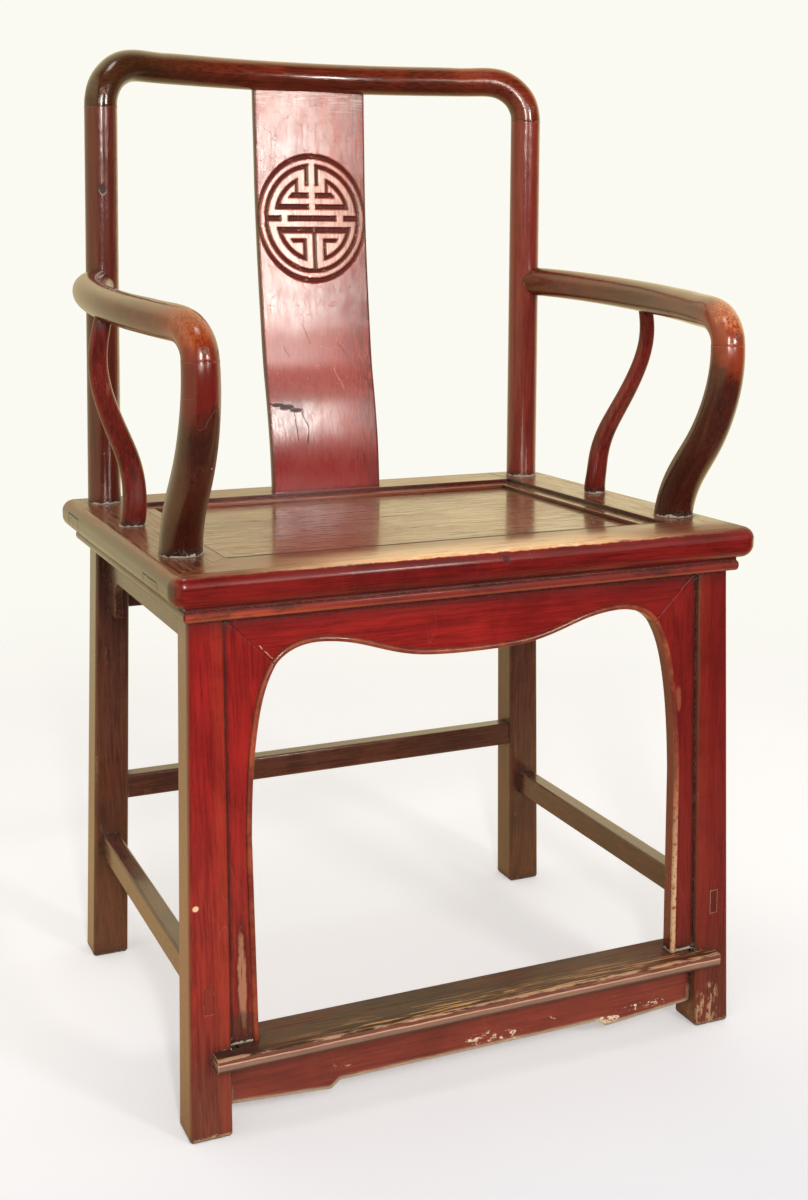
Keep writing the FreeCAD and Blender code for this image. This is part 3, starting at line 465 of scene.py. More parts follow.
def make_worn_place():
    tree, given, result = new_group(
        "worn place",
        {"Place": ("Vector", (0, 0, 0)), "Centre": ("Vector", (0, 0, 0)), "Size": ("Vector", (1, 1, 1)),
         "Ragged": ("Float", 0.5)},
        {"Mask": "Float"})
    away = combine(tree, "SUBTRACT", given["Place"], given["Centre"])
    scaled = combine(tree, "DIVIDE", away, given["Size"])
    distance = combine(tree, "LENGTH", scaled, (0, 0, 0))
    rough = sway(tree, cloud(tree, given["Place"], 90.0, 5.0, 0.65), given["Ragged"])
    rim = calc(tree, "ADD", distance, rough)
    feed(tree, result["Mask"], fade(tree, rim, 1.1, 0.7))
    return tree


worn_place = make_worn_place()
print("group:", worn_place.name)

# %% [markdown]
# **Scored lines.** Cracks, joints and deep scratches are thin lines between two known points. The group
# measures how far a point lies from that line, lets the line wander a little, and leaves out the depth with
# Flat.

# %% Scored line group


def make_scored_line():
    tree, given, result = new_group(
        "scored line",
        {"Place": ("Vector", (0, 0, 0)), "From": ("Vector", (0, 0, 0)), "To": ("Vector", (0, 0, 1)),
         "Flat": ("Vector", (1, 1, 1)), "Width": ("Float", 0.0007)},
        {"Line": "Float"})
    start = combine(tree, "MULTIPLY", given["From"], given["Flat"])
    end = combine(tree, "MULTIPLY", given["To"], given["Flat"])
    here = combine(tree, "MULTIPLY", given["Place"], given["Flat"])
    moved = combine(tree, "ADD", here, sway(tree, cloud(tree, given["Place"], 120.0, 3.0), 0.003))
    along = combine(tree, "SUBTRACT", end, start)
    away = combine(tree, "SUBTRACT", moved, start)
    length = combine(tree, "DOT_PRODUCT", along, along)
    share = calc(tree, "DIVIDE", combine(tree, "DOT_PRODUCT", away, along), length, clamp=True)
    nearest = combine(tree, "MULTIPLY", along, share)
    gap = combine(tree, "LENGTH", combine(tree, "SUBTRACT", away, nearest), (0, 0, 0))
    feed(tree, result["Line"], fade(tree, calc(tree, "DIVIDE", gap, given["Width"]), 1.0, 0.35))
    return tree


scored_line = make_scored_line()
print("group:", scored_line.name)

# %% [markdown]
# **Outlines of tenons.** Where a tenon comes through, its four sides show as fine cracks round a rectangle.

# %% Tenon outline group


def make_tenon_outline():
    tree, given, result = new_group(
        "tenon outline",
        {"Place": ("Vector", (0, 0, 0)), "Centre": ("Vector", (0, 0, 0)), "Half": ("Vector", (1, 1, 1)),
         "Width": ("Float", 0.0007)},
        {"Outline": "Float"})
    wander = sway(tree, cloud(tree, given["Place"], 160.0, 3.0), 0.0025)
    moved = combine(tree, "ADD", given["Place"], wander)
    away = combine(tree, "SUBTRACT", moved, given["Centre"])
    distance = combine(tree, "SUBTRACT", combine(tree, "ABSOLUTE", away, (0, 0, 0)), given["Half"])
    x, y, z = xyz(tree, distance)
    outer = calc(tree, "MAXIMUM", calc(tree, "MAXIMUM", x, y), z)
    rim = calc(tree, "DIVIDE", calc(tree, "ABSOLUTE", outer), given["Width"])
    feed(tree, result["Outline"], fade(tree, rim, 1.0, 0.35))
    return tree


tenon_outline = make_tenon_outline()
print("group:", tenon_outline.name)

# %% [markdown]
# ** Dusty seams.** Old wax and dust make a ragged pale ring where a post stands on another piece. Above it
# a painted shade darkens the foot of the post.

# %% Dusty seam and shade group


def make_dusty_seam_and_shade():
    tree, given, result = new_group(
        "dusty seam and shade",
        {"Place": ("Vector", (0, 0, 0)), "Level": ("Float", 0.5), "Height": ("Float", 0.003)},
        {"Dust": "Float", "Shade": "Float"})
    z = xyz(tree, given["Place"])[2]
    rise = calc(tree, "DIVIDE", calc(tree, "SUBTRACT", z, given["Level"]), given["Height"])
    ragged = sway(tree, cloud(tree, given["Place"], 190.0, 4.0), 5.0)
    above = fade(tree, rise, -0.6, -0.2)
    ring = fade(tree, calc(tree, "ADD", rise, ragged), 1.1, 0.9)
    feed(tree, result["Dust"], calc(tree, "MULTIPLY", above, ring))
    feed(tree, result["Shade"], calc(tree, "MULTIPLY", above, fade(tree, rise, 5.0, 0.8)))
    return tree


dusty_seam_and_shade = make_dusty_seam_and_shade()
print("group:", dusty_seam_and_shade.name)

# %% [markdown]
# ## Finishes
# Each finish starts from the same steps: grain colours, wear, dirt with painted shade, knocks, then gloss
# and a fine bump. A small class keeps what they share: the node tree, the colour so far, and the masks. Each
# mark
# on the chair is then one short line: a mask, a colour, and how strong it is.

# %% A finish in the making
# This black darkens pores, cracks and joints, and is also laid as painted shade: in corners, under the seat
# frame, under the crest and at the feet of posts.
black_wax_and_shade = paint(28, 14, 12)
pale_dust = paint(232, 212, 196)
everywhere_alike = (1, 1, 1)
facing_front = (1, 0, 1)
streak_part = 0.55
relief_depth = 0.0006


class Finish:
    """A material in the making: its tree, its colour so far and the shared masks."""

    def __init__(self, name, stretch, edge_width=0.003, reach=0.012, coat=0.7, coat_roughness=0.12,
                 specular=0.5):
        self.material = bpy.data.materials.new(name)
        self.material.use_nodes = True
        self.tree = self.material.node_tree
        self.surface = self.tree.nodes["Principled BSDF"]
        self.surface.inputs["Coat Roughness"].default_value = coat_roughness
        self.surface.inputs["Specular IOR Level"].default_value = specular
        self.coat = coat
        self.matt = None
        self.sunk = None
        self.seams = []
        self.place = add_node(self.tree, "ShaderNodeTexCoord").outputs["Object"]
        self.normal = add_node(self.tree, "ShaderNodeNewGeometry").outputs["Normal"]
        self.grain = use_group(self.tree, "wood grain", Place=self.place, Stretch=stretch)
        self.edges = use_group(self.tree, "rubbed edges", Place=self.place, Width=edge_width)
        self.corners = use_group(self.tree, "corner dirt and shade", Place=self.place, Reach=reach)
        self.marks = use_group(self.tree, "knocks", Place=self.place)

    def base(self, deep, bright, pore_share):
        """The grain: two tones of the lacquer, and dark pores."""
        tree = self.tree
        tone = calc(tree, "ADD", calc(tree, "MULTIPLY", self.grain["Streak"], streak_part),
                    calc(tree, "MULTIPLY", self.grain["Blotch"], 1 - streak_part))
        self.colour = tint(tree, fade(tree, tone, 0.28, 0.72), deep, bright)
        self.add(self.grain["Pores"], black_wax_and_shade, pore_share)

    def add(self, mask, colour, share=1.0):
        """Lays a colour over what is there, as strong as mask times share."""
        self.colour = tint(self.tree, calc(self.tree, "MULTIPLY", mask, share), self.colour, colour)

    def dull(self, mask, share=1.0):
        """Marks a place where the gloss is gone."""
        part = calc(self.tree, "MULTIPLY", mask, share)
        self.matt = self.either(self.matt, part) if self.matt else part

    def score(self, mask, colour, share=0.85):
        """A crack or a deep scratch: coloured, without gloss and sunk into the face."""
        self.add(mask, colour, share)
        self.dull(mask, 0.9)
        self.sunk = self.either(self.sunk, mask) if self.sunk else mask

    def seam(self, level, height=0.0018, share=0.65):
        """Asks for a painted shade and a pale ragged ring of dust where the piece stands on something."""
        self.seams.append((level, height, share))

    def lay_seams(self):
        for level, height, share in self.seams:
            ring = use_group(self.tree, "dusty seam and shade", Place=self.place, Level=level, Height=height)
            # Painted shade at the foot of the piece, then the dust ring.
            self.add(ring["Shade"], black_wax_and_shade, 0.45)
            self.add(ring["Dust"], pale_dust, share)

    def both(self, first, *others):
        """Where all the masks are."""
        return overlap(self.tree, first, *others)

    def either(self, first, second):
        return calc(self.tree, "MAXIMUM", first, second)

    def axis_of(self, source, axis):
        return xyz(self.tree, source)["XYZ".index(axis)]

    def from_middle(self):
        """How far a point lies from the chair's middle, to the left or to the right."""
        return calc(self.tree, "ABSOLUTE", self.part("X"))

    def part(self, axis):
        """The place along X, Y or Z in metres."""
        return self.axis_of(self.place, axis)

    def past(self, axis, start, end):
        """Rises from 0 to 1 between two places along an axis."""
        return fade(self.tree, self.part(axis), start, end)

    def facing(self, axis, start, end):
        """Faces that look along an axis: the normal's share rises from start to end."""
        return fade(self.tree, self.axis_of(self.normal, axis), start, end)

    def sideways(self, start, end):
        """Faces that look to the left or to the right."""
        return fade(self.tree, calc(self.tree, "ABSOLUTE", self.axis_of(self.normal, "X")), start, end)

    def fibres(self, start, end):
        """The streaks of the grain between two levels."""
        return fade(self.tree, self.grain["Streak"], start, end)

    def streaks(self, deep, bright, start=None, end=None):
        """Two colours that take turns along the grain; start and end sharpen the change."""
        share = self.grain["Streak"] if start is None else self.fibres(start, end)
        return tint(self.tree, share, deep, bright)

    def clouds(self, scale, stretch=everywhere_alike, detail=4.0, roughness=0.6, distortion=0.0):
        """A cloud pattern, drawn out along each axis whose stretch is small."""
        drawn = combine(self.tree, "MULTIPLY", self.place, stretch)
        return cloud(self.tree, drawn, scale, detail, roughness, distortion)

    def patches(self, scale, start, end, stretch=everywhere_alike, detail=4.0, roughness=0.6):
        return fade(self.tree, self.clouds(scale, stretch, detail, roughness), start, end)

    def ragged(self, value, scale, stretch, depth):
        """The value with a cloud pattern added, so that its steps get a torn edge."""
        return calc(self.tree, "ADD", value, sway(self.tree, self.clouds(scale, stretch, 5.0, 0.7), depth))

    def spot(self, centre, size, ragged=0.5):
        return use_group(self.tree, "worn place", Place=self.place, Centre=centre, Size=size,
                         Ragged=ragged)["Mask"]

    def line(self, start, end, width=0.0007, flat=facing_front):
        return use_group(self.tree, "scored line", Place=self.place, From=start, To=end, Flat=flat,
                         Width=width)["Line"]

    def tenon(self, centre, half, width):
        outline = use_group(self.tree, "tenon outline", Place=self.place, Centre=centre, Half=half,
                            Width=width)
        return outline["Outline"]

    def finish(self, gloss, dull, dull_mask, bump=0.25, bump_source=None):
        """Connects colour, gloss and bump to the shader; dull is the roughness that lost gloss adds."""
        tree = self.tree
        self.dull(dull_mask)
        self.lay_seams()
        feed(tree, self.surface.inputs["Base Color"], self.colour)
        gloss_left = calc(tree, "SUBTRACT", 1.0, self.matt, clamp=True)
        feed(tree, self.surface.inputs["Coat Weight"], calc(tree, "MULTIPLY", gloss_left, self.coat))
        uneven = calc(tree, "MULTIPLY", calc(tree, "ADD", self.grain["Streak"], self.grain["Blotch"]), 0.10)
        sheen = calc(tree, "ADD", gloss, uneven)
        rough = calc(tree, "ADD", sheen, calc(tree, "MULTIPLY", self.matt, dull), clamp=True)
        feed(tree, self.surface.inputs["Roughness"], rough)
        relief = add_node(tree, "ShaderNodeBump")
        feed(tree, relief.inputs["Strength"], bump)
        feed(tree, relief.inputs["Distance"], relief_depth)
        height = bump_source or self.grain["Streak"]
        if self.sunk:
            height = calc(tree, "SUBTRACT", height, calc(tree, "MULTIPLY", self.sunk, 1.5))
        feed(tree, relief.inputs["Height"], height)
        feed(tree, relief.inputs["Normal"], self.edges["Rounded"])
        feed(tree, self.surface.inputs["Normal"], relief.outputs["Normal"])
        return self.material


steps = [name for name in vars(Finish) if not name.startswith("_")]
print("steps that a finish can take:", ", ".join(steps))

# %% [markdown]
# ** Lacquer on one board.** The real lacquer was laid on in thin coats, rubbed at the arrises first, and the
# dust came last. The function keeps that order: grain, a painted brown sheen on sideways faces, arrises,
# then what is special to the board, and dirt with painted shade in the corners, dust and knocks on top.
# Round members are a little lumpy, because they were shaped with a drawknife.

# %% Lacquer on one board
house_dust = paint(196, 184, 166)
# The brown of a painted sheen on sideways faces.
side_sheen_brown = paint(74, 58, 36)
bare_elm = paint(208, 160, 110)
chip_pale = paint(222, 178, 150)
lump_scale = 70.0
lump_height = 1.2


def lacquer(name, stretch, deep, bright, rubbed, extra=None, edge_width=0.003, edge_share=0.75,
            chip_share=0.55, gloss=0.18, reach=0.016, side_sheen_share=0.0, coat=0.5, dust=0.8, specular=0.5,
            lumpy=False):
    """The chair's lacquer on one board; extra adds what is special to that board."""
    made = Finish(name, stretch, edge_width, reach, coat, specular=specular)
    made.base(deep, bright, 0.45)
    made.add(fade(made.tree, made.grain["Figure"], 0.58, 0.66), deep, 0.6)
    # Sideways faces get a painted sheen in brown.
    made.add(made.sideways(0.65, 0.90), side_sheen_brown, side_sheen_share)
    made.add(made.edges["Edge"], rubbed, edge_share)
    made.add(made.edges["Chips"], bare_elm, chip_share)
    if extra:
        extra(made)
    # Corners darken: wax and dirt, and painted shade with them.
    made.add(made.corners["Dirt and shade"], black_wax_and_shade, 0.85)
    made.add(made.corners["Dust"], house_dust, dust)
    made.add(made.marks["Specks"], chip_pale, 0.8)
    made.add(made.marks["Scratches"], chip_pale, 0.12)
    worn = made.either(made.edges["Chips"], made.corners["Dirt and shade"])
    if not lumpy:
        return made.finish(gloss, 0.35, worn)
    lumps = calc(made.tree, "MULTIPLY", made.clouds(lump_scale, detail=1.0, roughness=0.5), lump_height)
    return made.finish(gloss, 0.35, worn, 0.3, calc(made.tree, "ADD", lumps, made.grain["Streak"]))


print("lumps on round members, per metre:", lump_scale)

# %% [markdown]
# ** Red lacquer on the legs.** The legs, the strips and the apron have the brightest red. The stuff is thin,
# so the grain shows as darker and more orange streaks. Near the floor, shoes and mops turned it to a dull
# brown, and the right foot lost its lacquer in ragged chips. Under the seat frame the red is darkened as a
# painted shade, and right under the frame lies a painted black line of shadow.

# %% Red lacquer on the legs
deep_red = paint(108, 12, 11)
bright_red = paint(166, 24, 17)
rubbed_orange = paint(186, 80, 36)
pale_wood = paint(222, 184, 142)
seat_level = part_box("seat_rail_front")[0].z
leg_chips = [((0.256, -0.213, 0.024), (0.015, 0.02, 0.024)), ((0.246, -0.213, 0.012), (0.012, 0.02, 0.012))]
leg_knock = ((-0.2684, -0.213, 0.2179), (0.0032, 0.01, 0.0032))


def shadow_gap(made):
    """Painted shade under the seat frame, the red darker towards the right, and a painted black line of
    shadow right under the frame.
    """
    made.add(made.past("X", 0.02, 0.24), paint(84, 18, 14), 0.45)
    made.add(made.past("Z", seat_level - 0.024, seat_level - 0.004), black_wax_and_shade, 0.30)
    made.add(made.past("Z", seat_level - 0.0028, seat_level - 0.0012), black_wax_and_shade, 0.9)


def low_dulling(made):
    """Feet and foot rest level: first rubbed to orange brown, then mopped to a dull brown."""
    rubbed = made.streaks(paint(124, 38, 26), paint(160, 58, 40), 0.30, 0.70)
    made.add(made.past("Z", 0.34, 0.14), rubbed, 0.6)
    mopped = made.streaks(paint(80, 38, 30), paint(108, 58, 44), 0.30, 0.70)
    made.add(made.past("Z", 0.15, 0.03), mopped, 0.8)
    made.add(made.past("X", 0.20, 0.30), paint(92, 30, 22), 0.30)


def inner_arris_line(made, inward, width):
    """A soft line along the junction of leg and strip, on both sides of the chair."""
    left, right = (
        made.line((side * (0.2345 - inward), 0, 0.47), (side * (0.2430 - inward), 0, 0.0), width)
        for side in (-1, 1))
    return made.either(left, right)


def leg_marks(made):
    low_dulling(made)
    # A painted highlight along the leg's inner arris, broken up in blotches.
    ridge_highlight = made.both(inner_arris_line(made, -0.0045, 0.0095),
                           fade(made.tree, made.grain["Blotch"], 0.30, 0.55))
    made.add(ridge_highlight, paint(180, 66, 38), 0.25)
    rim = fade(made.tree, made.ragged(made.part("Z"), 160.0, everywhere_alike, 0.012), 0.006, 0.003)
    made.add(rim, pale_wood, 0.65)
    torn = made.patches(260.0, 0.50, 0.56, (1, 1, 0.25), 5.0, 0.7)
    for centre, size in leg_chips:
        made.add(made.both(made.spot(centre, size, 0.6), torn), pale_wood, 0.9)
    made.add(made.spot(*leg_knock, 0.8), paint(240, 200, 160), 0.95)
    # The left-facing faces get a painted warm sheen.
    left_side_sheen = made.facing("X", -0.60, -0.90)
    made.add(left_side_sheen, made.streaks(paint(112, 64, 42), paint(150, 96, 66)), 0.7)
    shadow_gap(made)


red_legs = lacquer("red lacquer on legs", grain_along_z, deep_red, bright_red, rubbed_orange, leg_marks,
                   edge_share=0.35, side_sheen_share=0.85)
print("leg finish:", red_legs.name)

# %% [markdown]
# **Red lacquer on the strips and the apron.** Both carry the same red. The left strip has a scar down to
# the wood near the foot rest, the right one a small rubbed place, and both mitres opened into a fine pale
# crack.

# %% Red lacquer on the strips and the apron
scar_shade = ((-0.2270, -0.205, 0.1450), (0.0075, 0.03, 0.058))
scar_wood = ((-0.2275, -0.205, 0.1400), (0.0042, 0.03, 0.046))
scar_foot = ((-0.2250, -0.205, 0.0960), (0.018, 0.03, 0.018))
right_rub = ((0.2170, -0.203, 0.3430), (0.004, 0.03, 0.012))
mitre_cracks = [((-0.2018, 0, 0.4391), (-0.1879, 0, 0.4245)), ((0.1994, 0, 0.4324), (0.1888, 0, 0.4198))]


def strip_marks(made):
    low_dulling(made)
    # A dark joint line at the leg, widened into a painted shade in the groove beside it.
    made.add(inner_arris_line(made, 0.0005, 0.0055), black_wax_and_shade, 0.6)
    made.add(made.spot(*scar_shade, 0.6), paint(70, 24, 18), 0.6)
    bared = made.both(made.spot(*scar_wood, 1.1), made.fibres(0.34, 0.46))
    made.add(bared, paint(178, 122, 92), 0.85)
    made.add(made.spot(*scar_foot, 0.8), paint(64, 44, 34), 0.55)
    made.add(made.spot(*right_rub, 1.4), paint(196, 110, 72), 0.6)
    made.seam(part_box("foot_rest")[1].z)
    shadow_gap(made)


def apron_marks(made):
    for start, end in mitre_cracks:
        made.score(made.line(start, end, 0.0005), pale_wood, 0.7)
    shadow_gap(made)


# The strips and the apron reach further with their corner darkening, which spreads it as a painted shade
# under the seat frame.
red_strips = lacquer("red lacquer on strips", grain_along_z, deep_red, bright_red, rubbed_orange,
                     strip_marks, edge_share=0.0, chip_share=0.0, reach=0.018)
red_apron = lacquer("red lacquer on apron", grain_along_x, deep_red, bright_red, rubbed_orange,
                    apron_marks, edge_share=0.0, chip_share=0.0, reach=0.030)
print("strip and apron finishes:", red_strips.name, red_apron.name)

# %% [markdown]
# **Lacquer on the foot apron.** Mops and shoes reach the little apron under the foot rest most. Its lower
# edge is bare in ragged bites, and above it the lacquer broke out in crumbs. The crumbs are the peaks of
# one fine cloud pattern, let through only in a few places.

# %% Lacquer on the foot apron
crumb_y = -0.202
crumb_places = [(0.190, 0.0300, (0.026, 0.03, 0.0040), 0.55), (0.145, 0.0225, (0.020, 0.03, 0.0036), 0.50),
                (0.034, 0.0320, (0.012, 0.03, 0.0050), 0.56), (0.008, 0.0330, (0.018, 0.03, 0.0066), 0.54)]


def foot_apron_marks(made):
    """Its lower edge lost the lacquer in ragged bites down to pale wood."""
    tree = made.tree
    bites = fade(tree, made.ragged(made.edges["Edge"], 95.0, (0.5, 1, 1), 1.6), 0.26, 0.34)
    bare = made.both(bites, made.past("Z", 0.046, 0.036))
    crumbs = made.clouds(300.0, (0.6, 1, 0.8), 5.0, 0.75)
    for x, z, size, level in crumb_places:
        torn = fade(tree, crumbs, level, level + 0.02)
        near_place = fade(tree, made.spot((x, crumb_y, z), size, 0.8), 0.2, 0.5)
        bare = made.either(bare, made.both(near_place, torn))
    made.add(bare, paint(232, 214, 180), 0.95)
    made.dull(bare)


red_foot_apron = lacquer("red lacquer on foot apron", grain_along_x, paint(104, 34, 28), paint(146, 56, 40),
                         paint(228, 206, 170), foot_apron_marks, edge_width=0.008, edge_share=0.0,
                         chip_share=0.0, gloss=0.3)
print("foot apron finish:", red_foot_apron.name)

# %% [markdown]
# ** Arms and arm posts.** They are darker, almost plum, and polished by hands. The bends are rubbed to
# orange with golden fibres in the middle; on the left bend that golden middle is also a painted sheen. Under
# the left bend the post glows deep red.

# %% Dark red lacquer on the arms
seat_top_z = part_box("seat_rail_front")[1].z
arm_x = 0.262
arm_y = -0.212
bend_top_z = 0.750
bend_core_z = 0.712
red_glow = ((-0.258, arm_y, 0.662), (0.032, 0.034, 0.032))
# The left bend's golden middle is rubbed lacquer and a painted sheen together.
left_bend_and_sheen = (-1, 0.036, (paint(128, 36, 14), 0.75), (paint(180, 92, 30), 0.50))
right_bend = (1, 0.054, (paint(148, 58, 30), 0.75), (paint(218, 140, 92), 0.60))


def arm_wear(made):
    made.add(made.spot(*red_glow, 0.8), paint(112, 20, 16), 0.65)
    fibres = made.patches(520.0, 0.36, 0.60, (1, 1, 0.15))
    for side, reach_down, bend_paint, core_paint in (left_bend_and_sheen, right_bend):
        centre = (side * arm_x, arm_y, bend_top_z - reach_down)
        made.add(made.spot(centre, (0.040, 0.050, reach_down), 0.8), *bend_paint)
        core = made.spot((side * arm_x, arm_y, bend_core_z), (0.030, 0.030, 0.026), 0.8)
        made.add(made.both(core, fibres), *core_paint)
    made.seam(seat_top_z)


plum_arms = lacquer("dark red lacquer on arms", grain_along_y, paint(60, 24, 14), paint(120, 46, 26),
                    paint(150, 60, 34), arm_wear, gloss=0.12, lumpy=True)
plum_arm_posts = lacquer("dark red lacquer on arm posts", grain_along_z, paint(42, 16, 9), paint(84, 30, 18),
                         paint(150, 50, 30), arm_wear, gloss=0.12, lumpy=True)
print("arm finishes:", plum_arms.name, plum_arm_posts.name)

# %% [markdown]
# ** Crest and side supports.** The crest's left half is browner, its middle redder, and its underside is
# darkened as a painted shade. The supports under the arms keep the plum red.

# %% Dark red lacquer on the crest and the supports


def brown_left_and_shaded_underside(made):
    """The left half of the crest is browner; its underside is darkened as a painted shade."""
    made.add(made.past("X", -0.06, -0.20), made.streaks(paint(30, 22, 10), paint(62, 45, 22)), 0.75)
    made.add(made.facing("Z", 0.10, -0.50), black_wax_and_shade, 0.45)


def support_wear(made):
    made.seam(seat_top_z)


plum_crest = lacquer("dark red lacquer on crest", grain_along_x, paint(60, 20, 10), paint(142, 50, 24),
                     paint(120, 50, 28), brown_left_and_shaded_underside, gloss=0.10, coat=0.6, lumpy=True)
plum_supports = lacquer("lacquer on side supports", grain_along_z, paint(58, 14, 10), paint(132, 34, 24),
                        paint(150, 64, 40), support_wear, gloss=0.16)
print("crest and support finishes:", plum_crest.name, plum_supports.name)

# %% [markdown]
# **Rear posts and undercarriage.** One stick makes the rear leg and the post above it. Above the seat it
# was polished red; below it stayed a dull brown, as did the stretchers and the hidden aprons. The side
# stretchers come through the front legs, so their ends have the red of the legs.

# %% Brown lacquer
soot_deep = paint(68, 35, 26)
soot_bright = paint(112, 63, 43)
soot_edge = paint(150, 108, 84)
stretcher_end_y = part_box("side_stretcher_left")[0].y
post_knot = ((-0.2395, 0.158, 0.8245), (0.0036, 0.03, 0.0048))


def red_above_seat(made):
    left = made.streaks(paint(52, 18, 14), paint(124, 48, 34))
    right = made.streaks(paint(70, 20, 17), paint(162, 60, 47))
    made.add(made.past("Z", 0.500, 0.512), tint(made.tree, made.past("X", -0.1, 0.1), left, right), 0.95)
    made.score(made.spot(*post_knot, 0.9), black_wax_and_shade, 0.8)
    made.seam(seat_top_z)


def red_tenon_end(made):
    """The left end is light with a dark rim, the right end dark with a pale worn rim."""
    end = made.past("Y", stretcher_end_y + 0.003, stretcher_end_y + 0.001)
    made.add(end, tint(made.tree, made.grain["Blotch"], paint(104, 30, 22), paint(150, 52, 36)), 1.0)
    right = made.past("X", -0.1, 0.1)
    made.add(made.both(end, right), paint(66, 18, 15), 0.6)
    rim = made.both(end, made.edges["Edge"])
    made.add(rim, tint(made.tree, right, paint(54, 22, 18), paint(226, 184, 152)), 0.8)


brown_posts = lacquer("lacquer on rear posts", grain_along_z, soot_deep, soot_bright, soot_edge,
                      red_above_seat, edge_share=0.4, gloss=0.11, coat=0.6, lumpy=True)
brown_side = lacquer("lacquer on side boards", grain_along_y, soot_deep, soot_bright, soot_edge,
                     red_tenon_end, edge_width=0.0014, edge_share=0.4)
brown_rear = lacquer("lacquer on rear boards", grain_along_x, soot_deep, soot_bright, soot_edge,
                     edge_share=0.4)
print("brown finishes:", brown_posts.name, brown_side.name, brown_rear.name)

# %% [markdown]
# **Seat frame, the worn top.** The rails are red on their rounded noses, but their tops were sat on and
# leaned on. There the lacquer is worn to a brown skin, and to bare wood along the middle of the front edge.

# %% Worn top of the seat frame
seat_deep = paint(84, 38, 26)
seat_bright = paint(142, 84, 54)
front_edge_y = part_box("seat_rail_front")[0].y


def worn_top(made):
    """The top lost its red: brown skin, a torn edge to the nose, and bare wood along the front."""
    tilt = made.ragged(made.axis_of(made.normal, "Z"), 230.0, (0.4, 1, 1), 0.34)
    top = fade(made.tree, tilt, 0.72, 0.80)
    made.add(top, made.streaks(seat_deep, seat_bright, 0.35, 0.65), 0.95)
    near_front = made.past("Y", front_edge_y + 0.056, front_edge_y + 0.020)
    middle = made.both(made.past("X", -0.24, -0.06), made.past("X", 0.22, 0.08))
    patches = made.patches(60.0, 0.22, 0.42, (0.25, 1, 1), 5.0)
    bare = made.both(top, near_front, middle, patches, made.fibres(0.28, 0.46))
    made.add(bare, paint(234, 198, 156), 0.95)
    rim = made.both(fade(made.tree, tilt, 0.70, 0.76), made.facing("Z", 0.96, 0.88))
    broken = made.patches(150.0, 0.42, 0.56, (0.5, 1, 1))
    made.add(made.both(rim, middle, near_front, broken), paint(214, 158, 112), 0.8)
    nose = made.both(made.facing("Z", 0.05, 0.30), near_front)
    made.dull(made.both(nose, made.past("X", -0.24, -0.12)), 0.7)
    made.dull(made.both(top, made.fibres(0.46, 0.60)), 0.45)


print("front edge of the seat in metres:", round(front_edge_y, 4))

# %% [markdown]
# **Seat frame, bead and joints.** The small bead under the front rail is rubbed to orange, with dark wax
# left in patches. Dark lines show where the panel meets the frame and where the through tenons end on the
# outer sides. They are drawn on the faces, because the real gaps are thinner than a hair.

# %% Bead and joints of the seat frame
side_edge_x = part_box("seat_rail_right")[1].x
rail_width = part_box("seat_rail_left")[1].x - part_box("seat_rail_left")[0].x
panel_edge_y = front_edge_y + rail_width
panel_edge_x = side_edge_x - rail_width
tenon_places = [(-0.1555, 0.4895), (0.1585, 0.494)]
tenon_half = (0.004, 0.0225, 0.0075)
nose_knot = ((0.016, -0.226, 0.501), (0.0036, 0.012, 0.0046))


def bead_rub(made):
    """The small bead under the front rail: red brown, orange low on the left, waxed in patches."""
    front_faces = made.both(made.sideways(0.8, 0.5), made.past("Y", 0.01, -0.01))
    bead = made.both(front_faces, made.past("Z", 0.4785, 0.4765))
    made.add(bead, paint(140, 40, 24), 0.55)
    orange = made.both(front_faces, made.past("Z", 0.4748, 0.4728), made.past("X", -0.10, -0.24))
    made.add(orange, paint(192, 74, 32), 0.6)
    made.dull(bead, 0.8)
    made.add(made.both(bead, made.patches(60.0, 0.49, 0.60, (0.3, 0.3, 1), 5.0, 0.65)), black_wax_and_shade, 0.55)
    made.add(made.past("Z", 0.4712, 0.4700), paint(214, 132, 84), 0.2)


def frame_marks(made):
    """Joint lines: the panel's edge in front and at the sides, and the through tenons."""
    tree = made.tree
    upward = made.facing("Z", 0.4, 0.8)
    from_middle = made.from_middle()
    torn_y = made.ragged(made.part("Y"), 120.0, (0.2, 1, 1), 0.004)
    front_joint = fade(tree, torn_y, panel_edge_y - 0.0052, panel_edge_y - 0.0040)
    within = fade(tree, from_middle, panel_edge_x + 0.001, panel_edge_x - 0.001)
    made.score(made.both(front_joint, within, upward, made.past("Y", 0.01, -0.01)), black_wax_and_shade, 0.75)
    side_joint = near_level(tree, from_middle, panel_edge_x, 0.0014, 0.0006)
    behind = made.past("Y", panel_edge_y - 0.001, panel_edge_y + 0.001)
    made.score(made.both(side_joint, behind, upward), black_wax_and_shade)
    for side in (-1, 1):
        for y, z in tenon_places:
            made.score(made.tenon((side * side_edge_x, y, z), tenon_half, 0.0009), black_wax_and_shade)
    made.score(made.spot(*nose_knot, 0.9), paint(52, 12, 12), 0.7)
    made.add(made.patches(620.0, 0.72, 0.76, detail=1.0, roughness=0.5), black_wax_and_shade, 0.6)


def rail_extra(made):
    worn_top(made)
    bead_rub(made)
    frame_marks(made)


def rail_lacquer(name, stretch, bright, specular=0.5):
    return lacquer(name, stretch, paint(74, 8, 8), bright, black_wax_and_shade, rail_extra, edge_width=0.0015,
                   edge_share=0.4, chip_share=0.1, side_sheen_share=0.85, dust=0.2, specular=specular)


frame_x = rail_lacquer("seat frame lacquer front", grain_along_x, paint(136, 20, 14), 0.35)
frame_y = rail_lacquer("seat frame lacquer sides", grain_along_y, paint(132, 22, 16))
print("seat frame:", frame_x.name, frame_y.name)

